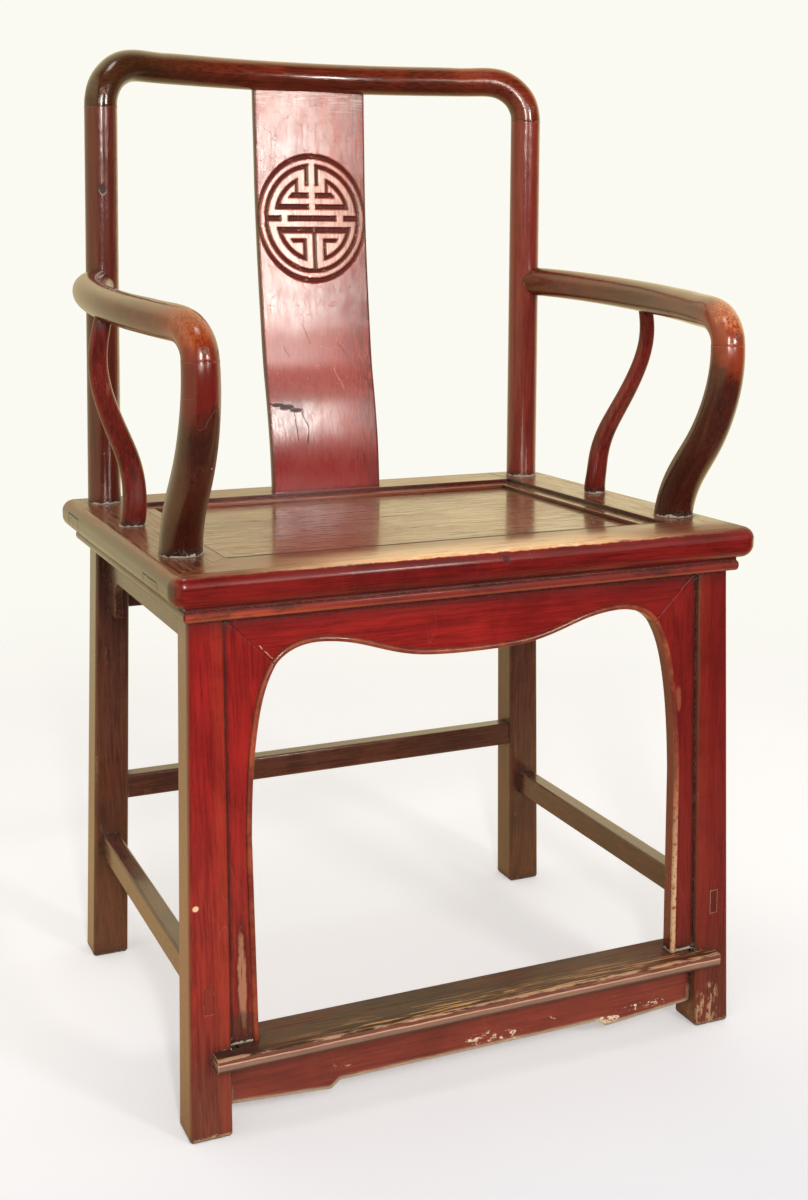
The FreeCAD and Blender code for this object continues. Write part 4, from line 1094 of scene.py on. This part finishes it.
# %% [markdown]
# **Polished boards.** The planks and cover strips keep a brown polish, the battens below were never
# finished, and the pegs' end grain is dark. One function makes them all; the strips' faces towards the
# sitter are still red-orange, and the planks have long fine cracks, pale rubbed streaks and places without
# gloss.

# %% Polished boards


def worn_board(name, stretch, deep, bright, gloss, grain_bump, extra=None, coat=0.7):
    made = Finish(name, stretch, 0.0015, coat=coat)
    made.base(deep, bright, 0.6)
    made.add(fade(made.tree, made.grain["Figure"], 0.60, 0.66), black_wax_and_shade, 0.25)
    made.add(made.edges["Edge"], black_wax_and_shade, 0.6)
    if extra:
        extra(made)
    # Corners darken: wax and dirt, and painted shade with them.
    made.add(made.corners["Dirt and shade"], black_wax_and_shade, 0.8)
    made.add(made.marks["Scratches"], black_wax_and_shade, 0.35)
    return made.finish(gloss, 0.4, made.corners["Dirt and shade"], grain_bump)


def strip_faces(made):
    facing = made.facing("Y", -0.3, -0.7)
    made.add(facing, made.streaks(paint(120, 44, 28), paint(184, 92, 60)), 0.9)
    made.add(made.both(made.edges["Edge"], made.past("Y", 0.05, 0.1)), paint(190, 112, 78), 0.7)
    made.dull(made.fibres(0.44, 0.60), 0.5)


plank_cracks = [((-0.214, -0.10, 0.5), (-0.150, -0.135, 0.5)), ((-0.190, -0.08, 0.5), (-0.140, -0.095, 0.5)),
                ((0.012, 0.02, 0.5), (0.030, 0.01, 0.5)), ((0.050, -0.120, 0.5), (0.150, -0.128, 0.5))]


def plank_marks(made):
    made.dull(made.fibres(0.44, 0.60), 0.5)
    made.dull(made.patches(9.0, 0.45, 0.65), 0.35)
    fine_cracks = near_level(made.tree, made.clouds(95.0, (0.05, 1, 1), 2.0, 0.5, 0.6), 0.5, 0.010, 0.002)
    broken = made.patches(14.0, 0.50, 0.58, detail=2.0, roughness=0.5)
    made.score(made.both(fine_cracks, broken), black_wax_and_shade, 0.8)
    made.add(made.patches(130.0, 0.58, 0.66, (0.10, 1, 1)), paint(184, 138, 96), 0.4)
    for start, end in plank_cracks:
        made.score(made.line(start, end, 0.0010, flat=(1, 1, 0)), black_wax_and_shade)


seat_boards = worn_board("polished seat boards", grain_along_x, seat_deep, seat_bright, 0.10, 0.5,
                         plank_marks)
seat_strips = worn_board("polished cover strips", grain_along_x, seat_deep, seat_bright, 0.10, 0.5,
                         strip_faces)
batten_wood = worn_board("unfinished batten wood", grain_along_y, paint(120, 84, 54), paint(160, 120, 82),
                         0.55, 0.4)
peg_wood = worn_board("peg wood", grain_along_x, paint(96, 44, 30), paint(130, 70, 46), 0.35, 0.3)
print("boards:", seat_boards.name, seat_strips.name, batten_wood.name, peg_wood.name)

# %% [markdown]
# **The trodden foot rest.** It lost its lacquer long ago: its coarse grain is open, dark with wax, and
# golden where shoes rubbed it near the front edge. Its moulded front keeps a red band above, a pale ragged
# rim, a pinkish hollow and a dark foot.

# %% Foot rest wood
rest_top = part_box("foot_rest")[1].z
rim_drop = 0.0050


def trodden(made):
    tree = made.tree
    red_rest = made.patches(26.0, 0.46, 0.58, (0.3, 1, 1), roughness=0.5)
    made.add(red_rest, paint(92, 34, 22), 0.55)
    fibres = made.fibres(0.52, 0.60)
    near_edge = fade(tree, made.ragged(made.part("Y"), 30.0, (0.3, 1, 1), 0.03), -0.196, -0.222)
    golden = made.both(near_edge, made.past("X", -0.24, -0.06), fibres)
    made.add(golden, paint(216, 164, 106), 0.8)
    made.dull(fibres, 0.4)
    moulded_front(made)
    at_ends = fade(tree, made.from_middle(), 0.2560, 0.2580)
    made.add(made.both(at_ends, made.edges["Edge"]), pale_wood, 0.7)


def moulded_front(made):
    tree = made.tree
    forward = made.facing("Z", 0.5, 0.2)
    made.add(forward, made.streaks(paint(88, 42, 30), paint(142, 76, 56)), 0.9)
    level = made.ragged(made.part("Z"), 90.0, (0.35, 1, 1), 0.006)
    arris = fade(tree, level, rest_top - 0.0013, rest_top - 0.0006)
    broken = made.patches(150.0, 0.44, 0.54, (0.2, 1, 1), 5.0, 0.7)
    made.add(made.both(arris, made.past("Y", -0.2240, -0.2262), broken), paint(208, 162, 130), 0.7)
    height = made.ragged(made.part("Z"), 110.0, (0.2, 1, 1), 0.0026)
    hollow = fade(tree, height, rest_top - rim_drop + 0.0004, rest_top - rim_drop - 0.0004)
    made.add(made.both(hollow, forward), made.streaks(paint(112, 78, 64), paint(172, 134, 116)), 0.85)
    rim = near_level(tree, height, rest_top - rim_drop, 0.0009, 0.0004)
    made.add(made.both(rim, forward), paint(214, 172, 140), 0.75)
    foot = made.past("Z", rest_top - 0.0092, rest_top - 0.0108)
    made.add(made.both(foot, forward), paint(66, 42, 34), 0.8)


foot_boards = worn_board("trodden foot rest wood", grain_along_x, paint(38, 18, 11), paint(90, 48, 28),
                         0.36, 0.8, trodden, coat=0.1)
print("foot rest finish:", foot_boards.name)

# %% [markdown]
# ## Dress the pieces
# Each piece of the construction model takes the finish of its own board.

# %% Give every piece its finish
finish_of = {
    "armrest": plum_arms,
    "back_splat": plum_crest,
    "crest_rail": plum_crest,
    "foot_rest_apron": red_foot_apron,
    "foot_rest": foot_boards,
    "front_apron_strip": red_strips,
    "front_apron": red_apron,
    "front_arm_post": plum_arm_posts,
    "front_leg": red_legs,
    "joint_pegs": peg_wood,
    "rear_apron": brown_rear,
    "rear_post": brown_posts,
    "rear_stretcher": brown_rear,
    "seat_batten": batten_wood,
    "seat_cover_strip": seat_strips,
    "seat_plank": seat_boards,
    "seat_rail_front": frame_x,
    "seat_rail_rear": frame_x,
    "seat_rail": frame_y,
    "side_apron": brown_side,
    "side_stretcher": brown_side,
    "side_support": plum_supports,
}


def finish_for(name):
    return next(finish for start, finish in finish_of.items() if name.startswith(start))


for name, piece in nodes.items():
    piece.data.materials.clear()
    piece.data.materials.append(finish_for(name))
print("finished pieces:", len(nodes))

# %% [markdown]
# ## The carved splat
# The splat is one bent board with a round longevity medallion cut into its face. A chisel would cut each
# groove along a drawn line. Here the face is a fine grid, and every point is sunk by how far it lies inside
# a groove: that keeps the crisp walls and the round ridges of hand carving, which a handful of large faces
# could not show.

# %% Draw the medallion
medallion_z = 799.5
groove_depth = 2.2
groove_wall = 1.5
lower_shift = 1.7


def bar(x, z, left, right, low, high):
    """How far a point lies inside a straight groove, in mm; below 0 outside it."""
    return min(x - left, right - x, z - low, high - z)


def oval(x, z, half_width, half_height):
    """How far a point lies inside an oval."""
    return (1 - math.hypot(x / half_width, z / half_height)) * (half_width + half_height) / 2


def ring(x, z, outer, inner):
    return min(oval(x, z, *outer), -oval(x, z, *inner))


rim_outer, rim_inner = (62.5, 67.9), (59.0, 62.2)
band_outer, band_inner = (54.5, 57.2), (50.0, 52.6)
fret_outer, fret_inner = (43.5, 45.4), (39.1, 41.0)
core = (34.0, 36.0)


def upper_fret(x, z):
    """The upper half: two corner hooks and the split stem, drawn once for x at or above 0."""
    return max(
        min(bar(x, z, 3.3, 8.1, 34.5, 60.0), oval(x, z, *band_outer)),
        min(ring(x, z, fret_outer, fret_inner), bar(x, z, 15.1, 60.0, 9.8, 60.0)),
        min(bar(x, z, 3.3, 60.0, 9.8, 15.6), oval(x, z, *fret_outer)),
        min(bar(x, z, 15.1, 18.8, 22.0, 60.0), oval(x, z, *fret_outer)),
        min(bar(x, z, 3.3, 60.0, 21.7, 27.7), oval(x, z, *core)),
    )


def lower_fret(x, z):
    """The lower half: the long bar over two hooks that hang beside the stem."""
    return max(
        min(bar(x, z, 0.0, 60.0, -15.0, -8.2), oval(x, z, *fret_outer)),
        min(ring(x, z, fret_outer, fret_inner), bar(x, z, 9.4, 60.0, -60.0, -8.2)),
        min(bar(x, z, 9.4, 13.6, -60.0, -20.8), oval(x, z, *fret_outer)),
        min(bar(x, z, 9.4, 60.0, -25.2, -20.8), oval(x, z, *core)),
        bar(x, z, -1.0, 2.2, -57.0, -14.0),
    )


def inside_groove(x, z):
    """The deepest of all grooves at a point of the medallion."""
    side = abs(x)
    band = ring(x, z, band_outer, band_inner)
    if z > 0:
        band = min(band, side - 3.3)
    middle = max(bar(side, z, 35.5, 51.9, -2.6, 3.6), bar(side, z, -1.0, 28.2, -2.8, 3.8))
    frets = upper_fret(side, z) if z > 5 else lower_fret(abs(x - lower_shift), z)
    return max(ring(x, z, rim_outer, rim_inner), band, middle, frets)


def carve(x, z):
    """Depth of the carving as a share of the groove depth."""
    share = min(max(inside_groove(x, z - medallion_z) / groove_wall, 0.0), 1.0)
    return share * share * (3 - 2 * share)


print("depth at the middle bar in mm:", round(groove_depth * carve(0.0, medallion_z), 2))

# %% [markdown]
# The side view of the splat is a slow S. Its line is read from the middle of the construction model's own
# splat, so the carved board stands exactly where the plain one does.

# %% Read the bend of the splat
splat_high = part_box("back_splat")[1]
splat_half_width = splat_high.x / mm
splat_foot_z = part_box("seat_rail_rear")[1].z / mm
splat_head_z = splat_high.z / mm
splat_thickness = 9.0


def splat_face_line():
    """Heights and y of the front face's long edge, in mm, from the construction model."""
    mesh = bmesh.new()
    mesh.from_mesh(nodes["back_splat"].data)
    facing = [face for face in mesh.faces if face.normal.y < -0.8]
    points = {(round(v.co.z / mm, 1), v.co.y / mm) for face in facing for v in face.verts}
    mesh.free()
    return sorted(points)


splat_line = splat_face_line()
knot_step = 45.0


def straight_between(z):
    """The front face's y at a height, straight between the measured points."""
    for (low_z, low_y), (high_z, high_y) in zip(splat_line, splat_line[1:]):
        if z <= high_z and high_z > low_z:
            share = max((z - low_z) / (high_z - low_z), 0.0)
            return low_y + share * (high_y - low_y)
    return splat_line[-1][1]


def splat_front(z):
    """A smooth curve through widely spaced knots of the measured line: the gloss runs without bands."""
    place = (z - splat_foot_z) / knot_step
    knot = math.floor(place)
    share = place - knot
    heights = (splat_foot_z + (knot + i) * knot_step for i in (-1, 0, 1, 2))
    before, first, second, after = (straight_between(height) for height in heights)
    bend = 2 * before - 5 * first + 4 * second - after
    turn = 3 * (first - second) + after - before
    return first + 0.5 * share * (second - before + share * (bend + share * turn))


print("splat line:", [(z, round(y, 1)) for z, y in splat_line[::8]])

# %% [markdown]
# The joiner sawed the board from thick stock and rounded its long arrises. Here the front face is a grid,
# dense over the medallion and wide elsewhere; its faces are pulled back to the board's thickness and close
# it behind.

# %% Cut the board
fine_step = 0.8
coarse_step = 3.6
arris = 2.0


def splat_rows():
    """Heights of the grid's rows: close together over the medallion."""
    heights, z = [splat_foot_z], splat_foot_z
    while z < splat_head_z:
        near = abs(z - medallion_z) < rim_outer[1] + 3
        z += fine_step if near else coarse_step
        heights.append(min(z, splat_head_z))
    return heights


def rounded_arris(x):
    """How far the face drops towards its long edges."""
    inward = max(arris - (splat_half_width - abs(x)), 0.0)
    return arris - math.sqrt(max(arris ** 2 - inward ** 2, 0.0))


def carved_splat():
    rows = splat_rows()
    columns = round(2 * splat_half_width / fine_step)
    bpy.ops.object.select_all(action="DESELECT")
    bpy.ops.mesh.primitive_grid_add(x_subdivisions=columns, y_subdivisions=len(rows) - 1, size=1)
    board = bpy.context.object
    board.name = "carved_splat"
    carving = board.data.attributes.new("carving", "FLOAT", "POINT")
    depths = []
    for vertex in board.data.vertices:
        x = vertex.co.x * 2 * splat_half_width
        z = rows[round((vertex.co.y + 0.5) * (len(rows) - 1))]
        depth = carve(x, z)
        depths.append(depth)
        drop = max(depth * groove_depth, rounded_arris(x))
        vertex.co = Vector((x, splat_front(z) + drop, z)) * mm
    carving.data.foreach_set("value", depths)
    bpy.ops.object.mode_set(mode="EDIT")
    bpy.ops.mesh.select_all(action="SELECT")
    bpy.ops.mesh.extrude_region_move(TRANSFORM_OT_translate={"value": (0, splat_thickness * mm, 0)})
    bpy.ops.object.mode_set(mode="OBJECT")
    flatten_back(board)
    return board


def flatten_back(board):
    """The selected points are the new back: they leave the carving and follow the plain bend."""
    for vertex in board.data.vertices:
        if vertex.select:
            plain = splat_front(vertex.co.z / mm) + splat_thickness - rounded_arris(vertex.co.x / mm)
            vertex.co.y = plain * mm
            board.data.attributes["carving"].data[vertex.index].value = 0.0


splat = carved_splat()
bpy.ops.object.mode_set(mode="EDIT")
bpy.ops.mesh.select_all(action="SELECT")
bpy.ops.mesh.normals_make_consistent(inside=False)
bpy.ops.object.mode_set(mode="OBJECT")
bpy.ops.object.shade_smooth_by_angle(angle=math.radians(50))
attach(splat, "root")
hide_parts("back_splat")
print("carved splat triangles:", 2 * len(splat.data.polygons))

# %% [markdown]
# **The splat's marks.** Near the foot a branch left a dark knot, with cracks that run down from it. Below
# the medallion the lacquer is rubbed and scratched, and dust lies in fine lines at the head. The marks are
# given by their places in metres, so each sits where the photo shows it.

# %% Marks on the splat
knot_brown = paint(58, 18, 12)
knot_stain = ((-0.038, 0.18, 0.592), (0.026, 0.05, 0.020))
knot_places = [((-0.0520, 0.18, 0.6030), (0.0090, 0.05, 0.0022)),
               ((-0.0420, 0.18, 0.6005), (0.0100, 0.05, 0.0032)),
               ((-0.0320, 0.18, 0.5970), (0.0090, 0.05, 0.0027))]
knot_cracks = [((-0.0600, 0, 0.6050), (-0.0235, 0, 0.5945)), ((-0.0255, 0, 0.5945), (-0.0190, 0, 0.5800)),
               ((-0.0190, 0, 0.5800), (-0.0210, 0, 0.5600)), ((-0.0340, 0, 0.5930), (-0.0310, 0, 0.5650))]
splat_scratches = [((-0.018, 0, 0.688), (-0.009, 0, 0.668)), ((0.026, 0, 0.682), (0.018, 0, 0.662)),
                   ((-0.040, 0, 0.664), (-0.034, 0, 0.654)), ((0.002, 0, 0.664), (0.014, 0, 0.660)),
                   ((0.022, 0, 0.668), (0.034, 0, 0.652)), ((0.016, 0, 0.640), (0.026, 0, 0.618))]


def knot_marks(made, in_front):
    made.add(made.both(made.spot(*knot_stain, 1.0), in_front), paint(96, 40, 34), 0.5)
    for place, size in knot_places:
        made.score(made.both(made.spot(place, size, 0.9), in_front), knot_brown, 0.9)
    for start, end in knot_cracks:
        made.score(made.both(made.line(start, end, 0.0009), in_front), knot_brown, 0.9)


def rubbed_band(made):
    """Rubbed lacquer below the medallion, with short pale dashes and a dark stain at the right."""
    tree = made.tree
    z = made.ragged(made.part("Z"), 34.0, (1, 1, 0.4), 0.040)
    band = made.both(fade(tree, z, 0.704, 0.668), fade(tree, z, 0.600, 0.634))
    foot = made.both(made.past("X", -0.010, 0.050), fade(tree, z, 0.64, 0.62), fade(tree, z, 0.54, 0.57))
    rubbed = made.either(band, calc(tree, "MULTIPLY", foot, 0.5))
    made.add(rubbed, made.streaks(paint(126, 26, 24), paint(200, 88, 78)), 0.75)
    made.dull(rubbed, 0.6)
    bent = near_level(tree, made.clouds(120.0, detail=1.0, roughness=0.5), 0.5, 0.014, 0.004)
    dashes = made.both(bent, made.patches(105.0, 0.52, 0.57, detail=2.0, roughness=0.5))
    made.score(made.both(dashes, fade(tree, z, 0.596, 0.630)), paint(230, 160, 144), 0.5)
    made.add(made.both(made.past("X", 0.026, 0.058), made.fibres(0.62, 0.44)), paint(92, 30, 24), 0.6)


def scratches_and_dust(made, in_front):
    """Scratches, dark and pale by turns, and dusty lines at the head."""
    for number, (start, end) in enumerate(splat_scratches):
        scratch_paint = paint(236, 176, 160) if number % 2 else paint(74, 16, 16)
        made.score(made.both(made.line(start, end, 0.0008), in_front), scratch_paint, 0.55)
    dust_lines = made.patches(760.0, 0.50, 0.62, (0.06, 0, 1))
    made.add(made.both(made.past("Z", 0.895, 0.922), dust_lines), paint(232, 206, 190), 0.5)


def splat_sides(made):
    """The board's narrow sides are grey-tan; the front face has dark nicks along its long edges."""
    made.add(made.sideways(0.55, 0.85), paint(150, 126, 100), 0.85)
    from_edge = made.ragged(made.from_middle(), 240.0, (1, 1, 0.4), 0.004)
    made.add(fade(made.tree, from_edge, 0.0594, 0.0606), paint(70, 22, 18), 0.6)


print("cracks and scratches:", len(knot_cracks) + len(splat_scratches))

# %% [markdown]
# The splat's lacquer is thinner and pinker than the rest. Its grooves are painted dark as a painted shade,
# and the ridges of the medallion pale, as rubbed lacquer with a painted sheen.
# The carving wrote its depth into the board as an attribute, so the paint knows groove from ridge.

# %% Splat lacquer


def splat_finish():
    made = Finish("carved splat lacquer", grain_along_z, 0.002, coat=0.62, coat_roughness=0.17,
                  specular=0.45)
    made.base(paint(124, 32, 24), paint(184, 80, 60), 0.25)
    tree = made.tree
    made.add(made.past("Z", 0.62, 0.53), paint(146, 22, 21), 0.85)
    carving = add_node(tree, "ShaderNodeAttribute", attribute_name="carving").outputs["Fac"]
    # The grooves are painted dark: a painted shade.
    made.add(fade(tree, carving, 0.10, 0.60), paint(82, 17, 12), 0.95)
    in_front = made.facing("Y", 0.2, -0.1)
    medallion = made.spot((0, 0.2, medallion_z * mm), (0.062, 0.1, 0.066), 0.1)
    ridge = made.both(fade(tree, carving, 0.05, 0.0), in_front, medallion)
    browned = made.patches(150.0, 0.48, 0.62, detail=5.0, roughness=0.7)
    made.add(made.both(ridge, browned), paint(160, 74, 56), 0.5)
    # Pale ridges: rubbed lacquer, and a painted sheen with it.
    rubbed = fade(tree, made.ragged(made.grain["Streak"], 60.0, everywhere_alike, 0.5), 0.18, 0.56)
    made.add(made.both(ridge, rubbed), paint(236, 188, 164), 0.5)
    knot_marks(made, in_front)
    rubbed_band(made)
    scratches_and_dust(made, in_front)
    splat_sides(made)
    made.add(made.marks["Scratches"], paint(60, 16, 16), 0.6)
    made.dull(made.fibres(0.50, 0.62), 0.4)
    made.dull(made.patches(70.0, 0.46, 0.64, (1, 1, 0.5), 5.0, 0.65), 0.35)
    return made.finish(0.17, 0.35, carving, 0.5)


splat.data.materials.append(splat_finish())
print("splat finish:", splat.data.materials[0].name)

# %% [markdown]
# ## The bead round the front opening
# A slim round bead follows the arch of the apron and runs down both strips. First the arris that it
# follows is picked from a merged copy of each board, with the way to the opening at each of its points.

# %% Find the arris of the opening


def mitre_corner():
    """The corner where strip, apron and opening meet, on the right side."""
    places = [vertex.co for vertex in nodes["front_apron_strip_right"].data.vertices]
    return min(places, key=lambda co: (round(co.x, 4), -co.z))


def opening_arris(name, faces_opening, belongs):
    """The board's front arris on the opening's side, in order, each point with the way to the opening."""
    mesh = bmesh.new()
    mesh.from_mesh(nodes[name].data)
    bmesh.ops.remove_doubles(mesh, verts=mesh.verts, dist=0.02 * mm)
    mesh.normal_update()
    ways = {}
    chosen = []
    for edge in mesh.edges:
        if len(edge.link_faces) != 2:
            continue
        front, side = sorted((face.normal for face in edge.link_faces), key=lambda n: n.y)
        on_arris = front.y < -0.9 and abs(side.y) < 0.4 and faces_opening(side)
        if on_arris and all(belongs(v.co) for v in edge.verts):
            chosen.append(edge)
            for vertex in edge.verts:
                ways.setdefault(vertex, []).append(side.copy())
    chain = longest_chain(chosen)
    points = [(v.co.copy(), sum(ways[v], Vector()).normalized()) for v in chain]
    mesh.free()
    return points


def longest_chain(edges):
    """The corners of the longest unbroken run of edges."""
    beside = {}
    for edge in edges:
        first, second = edge.verts
        beside.setdefault(first, []).append(second)
        beside.setdefault(second, []).append(first)
    chains = []
    for start in (v for v in beside if len(beside[v]) == 1):
        chain = [start]
        while True:
            following = [v for v in beside[chain[-1]] if v not in chain[-2:]]
            if not following:
                break
            chain.append(following[0])
        chains.append(chain)
    return max(chains, key=lambda chain: sum((a.co - b.co).length for a, b in zip(chain, chain[1:])))


corner = mitre_corner()
print("mitre corner in mm:", [round(v / mm, 1) for v in corner])


def between_corners(place):
    return abs(place.x) < corner.x + 0.3 * mm


def below_corner(place):
    return place.z < corner.z + 0.3 * mm


arris_of = {
    "opening_bead_top": opening_arris("front_apron", lambda n: n.z < -0.1, between_corners),
    "opening_bead_left": opening_arris("front_apron_strip_left", lambda n: n.x > 0.3, below_corner),
    "opening_bead_right": opening_arris("front_apron_strip_right", lambda n: n.x < -0.3, below_corner),
}
for name, points in arris_of.items():
    ends = [[round(c, 3) for c in point[0]] for point in (points[0], points[-1])]
    print(name, "points:", len(points), "ends in metres:", ends)

# %% [markdown]
# A joiner would glue a thin rounded slip along that line. Here a round rod is swept along it, moved away
# from the opening by nearly its own radius and half sunk in the face.

# %% Lay the bead
bead_radius = 2.7 * mm
bead_inset = 0.9


def round_bead(name, points, radius):
    """A round rod along the arris, moved in from it by nearly its own radius."""
    curve = bpy.data.curves.new(name, "CURVE")
    curve.dimensions = "3D"
    line = curve.splines.new("POLY")
    line.points.add(len(points) - 1)
    for knot, (place, way) in zip(line.points, points):
        knot.co = (*(place - way * radius * bead_inset), 1.0)
    curve.bevel_depth = radius
    curve.bevel_resolution = 4
    curve.use_fill_caps = True
    bead = bpy.data.objects.new(name, curve)
    bpy.context.scene.collection.objects.link(bead)
    bpy.ops.object.select_all(action="DESELECT")
    bead.select_set(True)
    bpy.context.view_layer.objects.active = bead
    bpy.ops.object.convert(target="MESH")
    bpy.ops.object.shade_smooth_by_angle(angle=math.radians(60))
    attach(bead, "root")
    return bead


beads = [round_bead(name, points, bead_radius) for name, points in arris_of.items()]
print("beads:", [bead.name for bead in beads])

# %% [markdown]
# The bead stands out from the boards, so every cloth and trouser leg touched it. It is rubbed to orange,
# with red left in patches, and bare wood shows low on the right.

# %% Bead finish


def bead_finish():
    made = Finish("rubbed bead", (0.3, 0.3, 0.3), 0.002, 0.006)
    made.base(paint(104, 32, 20), paint(168, 74, 38), 0.5)
    made.add(made.patches(40.0, 0.50, 0.62), paint(110, 20, 18), 0.7)
    bared = made.both(made.past("Z", 0.30, 0.14), made.past("X", 0.0, 0.1))
    made.add(made.both(bared, made.patches(240.0, 0.32, 0.50)), pale_wood, 0.8)
    # Corners darken: wax and dirt, and painted shade with them.
    made.add(made.corners["Dirt and shade"], black_wax_and_shade, 0.9)
    return made.finish(0.3, 0.3, made.corners["Dirt and shade"])


rubbed_bead = bead_finish()
for bead in beads:
    bead.data.materials.append(rubbed_bead)
print("bead finish:", rubbed_bead.name)

# %% [markdown]
# ## The foot rest
# The foot rest is a board with a moulded front: a flat band above, a round hollow-looking quarter below,
# and a top arris that shoes have chipped. It laps over the front of both legs. These small tools do what saw
# and plane would do: they cut across, pull a face out, or round an edge.

# %% Tools for shaping a board
near_reach = 0.05 * mm


def deselect_mesh(piece):
    for items in (piece.data.vertices, piece.data.edges, piece.data.polygons):
        items.foreach_set("select", [False] * len(items))


def block(name, low, high):
    """A block between two corners, with its place in its mesh."""
    bpy.ops.object.select_all(action="DESELECT")
    bpy.ops.mesh.primitive_cube_add(size=1)
    piece = bpy.context.object
    piece.name = name
    for vertex in piece.data.vertices:
        vertex.co = Vector(high[i] if vertex.co[i] > 0 else low[i] for i in range(3))
    return piece


def cut_across(piece, places, axis):
    """Bisects the whole mesh at each place along an axis."""
    bpy.ops.object.mode_set(mode="EDIT")
    for place in places:
        bpy.ops.mesh.select_all(action="SELECT")
        where = [0.0, 0.0, 0.0]
        where[axis] = place
        square = [0.0, 0.0, 0.0]
        square[axis] = 1.0
        bpy.ops.mesh.bisect(plane_co=where, plane_no=square)
    bpy.ops.object.mode_set(mode="OBJECT")


def select_faces(piece, wanted):
    deselect_mesh(piece)
    for face in piece.data.polygons:
        face.select = wanted(face)


def select_edges(piece, wanted):
    deselect_mesh(piece)
    corners = piece.data.vertices
    for edge in piece.data.edges:
        first, second = (corners[i].co for i in edge.vertices)
        edge.select = wanted(first) and wanted(second)


def extrude_selected(move):
    bpy.ops.object.mode_set(mode="EDIT")
    bpy.ops.mesh.select_mode(type="FACE")
    bpy.ops.mesh.extrude_region_move(TRANSFORM_OT_translate={"value": move})
    bpy.ops.object.mode_set(mode="OBJECT")


def bevel_selected(width, segments):
    bpy.ops.object.mode_set(mode="EDIT")
    bpy.ops.mesh.select_mode(type="EDGE")
    bpy.ops.mesh.bevel(offset=width, segments=segments, affect="EDGES")
    bpy.ops.object.mode_set(mode="OBJECT")


def near(value, target):
    return abs(value - target) < near_reach


print("two places count as one within mm:", round(near_reach / mm, 3))

# %% [markdown]
# The board starts as a block between the legs. Its front part is extruded over them, and the two long edges
# are bevelled by different amounts. Narrow cuts then give the top arris enough points for small bites.

# %% Shape the foot rest
rest_low, rest_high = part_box("foot_rest")
leg_inner_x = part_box("front_leg_right")[0].x
lap_back_y = max(v.co.y for v in nodes["foot_rest"].data.vertices if v.co.x > rest_high.x - 1 * mm)
under_round = 5.5 * mm
top_round = 1.6 * mm
chip_step = 3.0 * mm
bite_reach = 2.0 * mm
bite_depth_mm = 1.2
small_bite_share = 0.6
bite_threshold = 0.15


def moulded_foot_rest():
    low = (-leg_inner_x, rest_low.y, rest_low.z)
    high = (leg_inner_x, rest_high.y, rest_high.z)
    board = block("moulded_foot_rest", low, high)
    cut_across(board, [lap_back_y], 1)
    for side in (-1, 1):
        end = side * leg_inner_x
        select_faces(board, lambda face: near(face.center.x, end) and face.center.y < lap_back_y)
        extrude_selected((side * (rest_high.x - leg_inner_x), 0, 0))
    select_edges(board, lambda v: near(v.y, rest_low.y) and near(v.z, rest_low.z))
    bevel_selected(under_round, 6)
    select_edges(board, lambda v: near(v.y, rest_low.y) and near(v.z, rest_high.z))
    bevel_selected(top_round, 2)
    cuts = int(2 * rest_high.x / chip_step)
    cut_across(board, [-rest_high.x + chip_step * (i + 0.5) for i in range(cuts)], 0)
    chip_arris(board)
    return board


def chip_arris(board):
    """Takes small bites out of the top front arris."""
    for vertex in board.data.vertices:
        from_arris = max(vertex.co.y - rest_low.y, rest_high.z - vertex.co.z)
        if from_arris < bite_reach:
            wide_bite = noise.noise(Vector((vertex.co.x * 55, 0, 3.7)))
            small_bite = noise.noise(Vector((vertex.co.x * 170, 0, 1.2)))
            bite = max(wide_bite + small_bite_share * small_bite - bite_threshold, 0.0)
            depth = bite * bite_depth_mm * mm
            vertex.co.y += depth
            vertex.co.z -= depth * 0.7


foot_rest = moulded_foot_rest()
bpy.ops.object.shade_smooth_by_angle(angle=math.radians(40))
foot_rest.data.materials.append(foot_boards)
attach(foot_rest, "root")
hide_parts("foot_rest")
print("foot rest faces:", len(foot_rest.data.polygons))

# %% [markdown]
# The finished model has to fit the construction model's box.
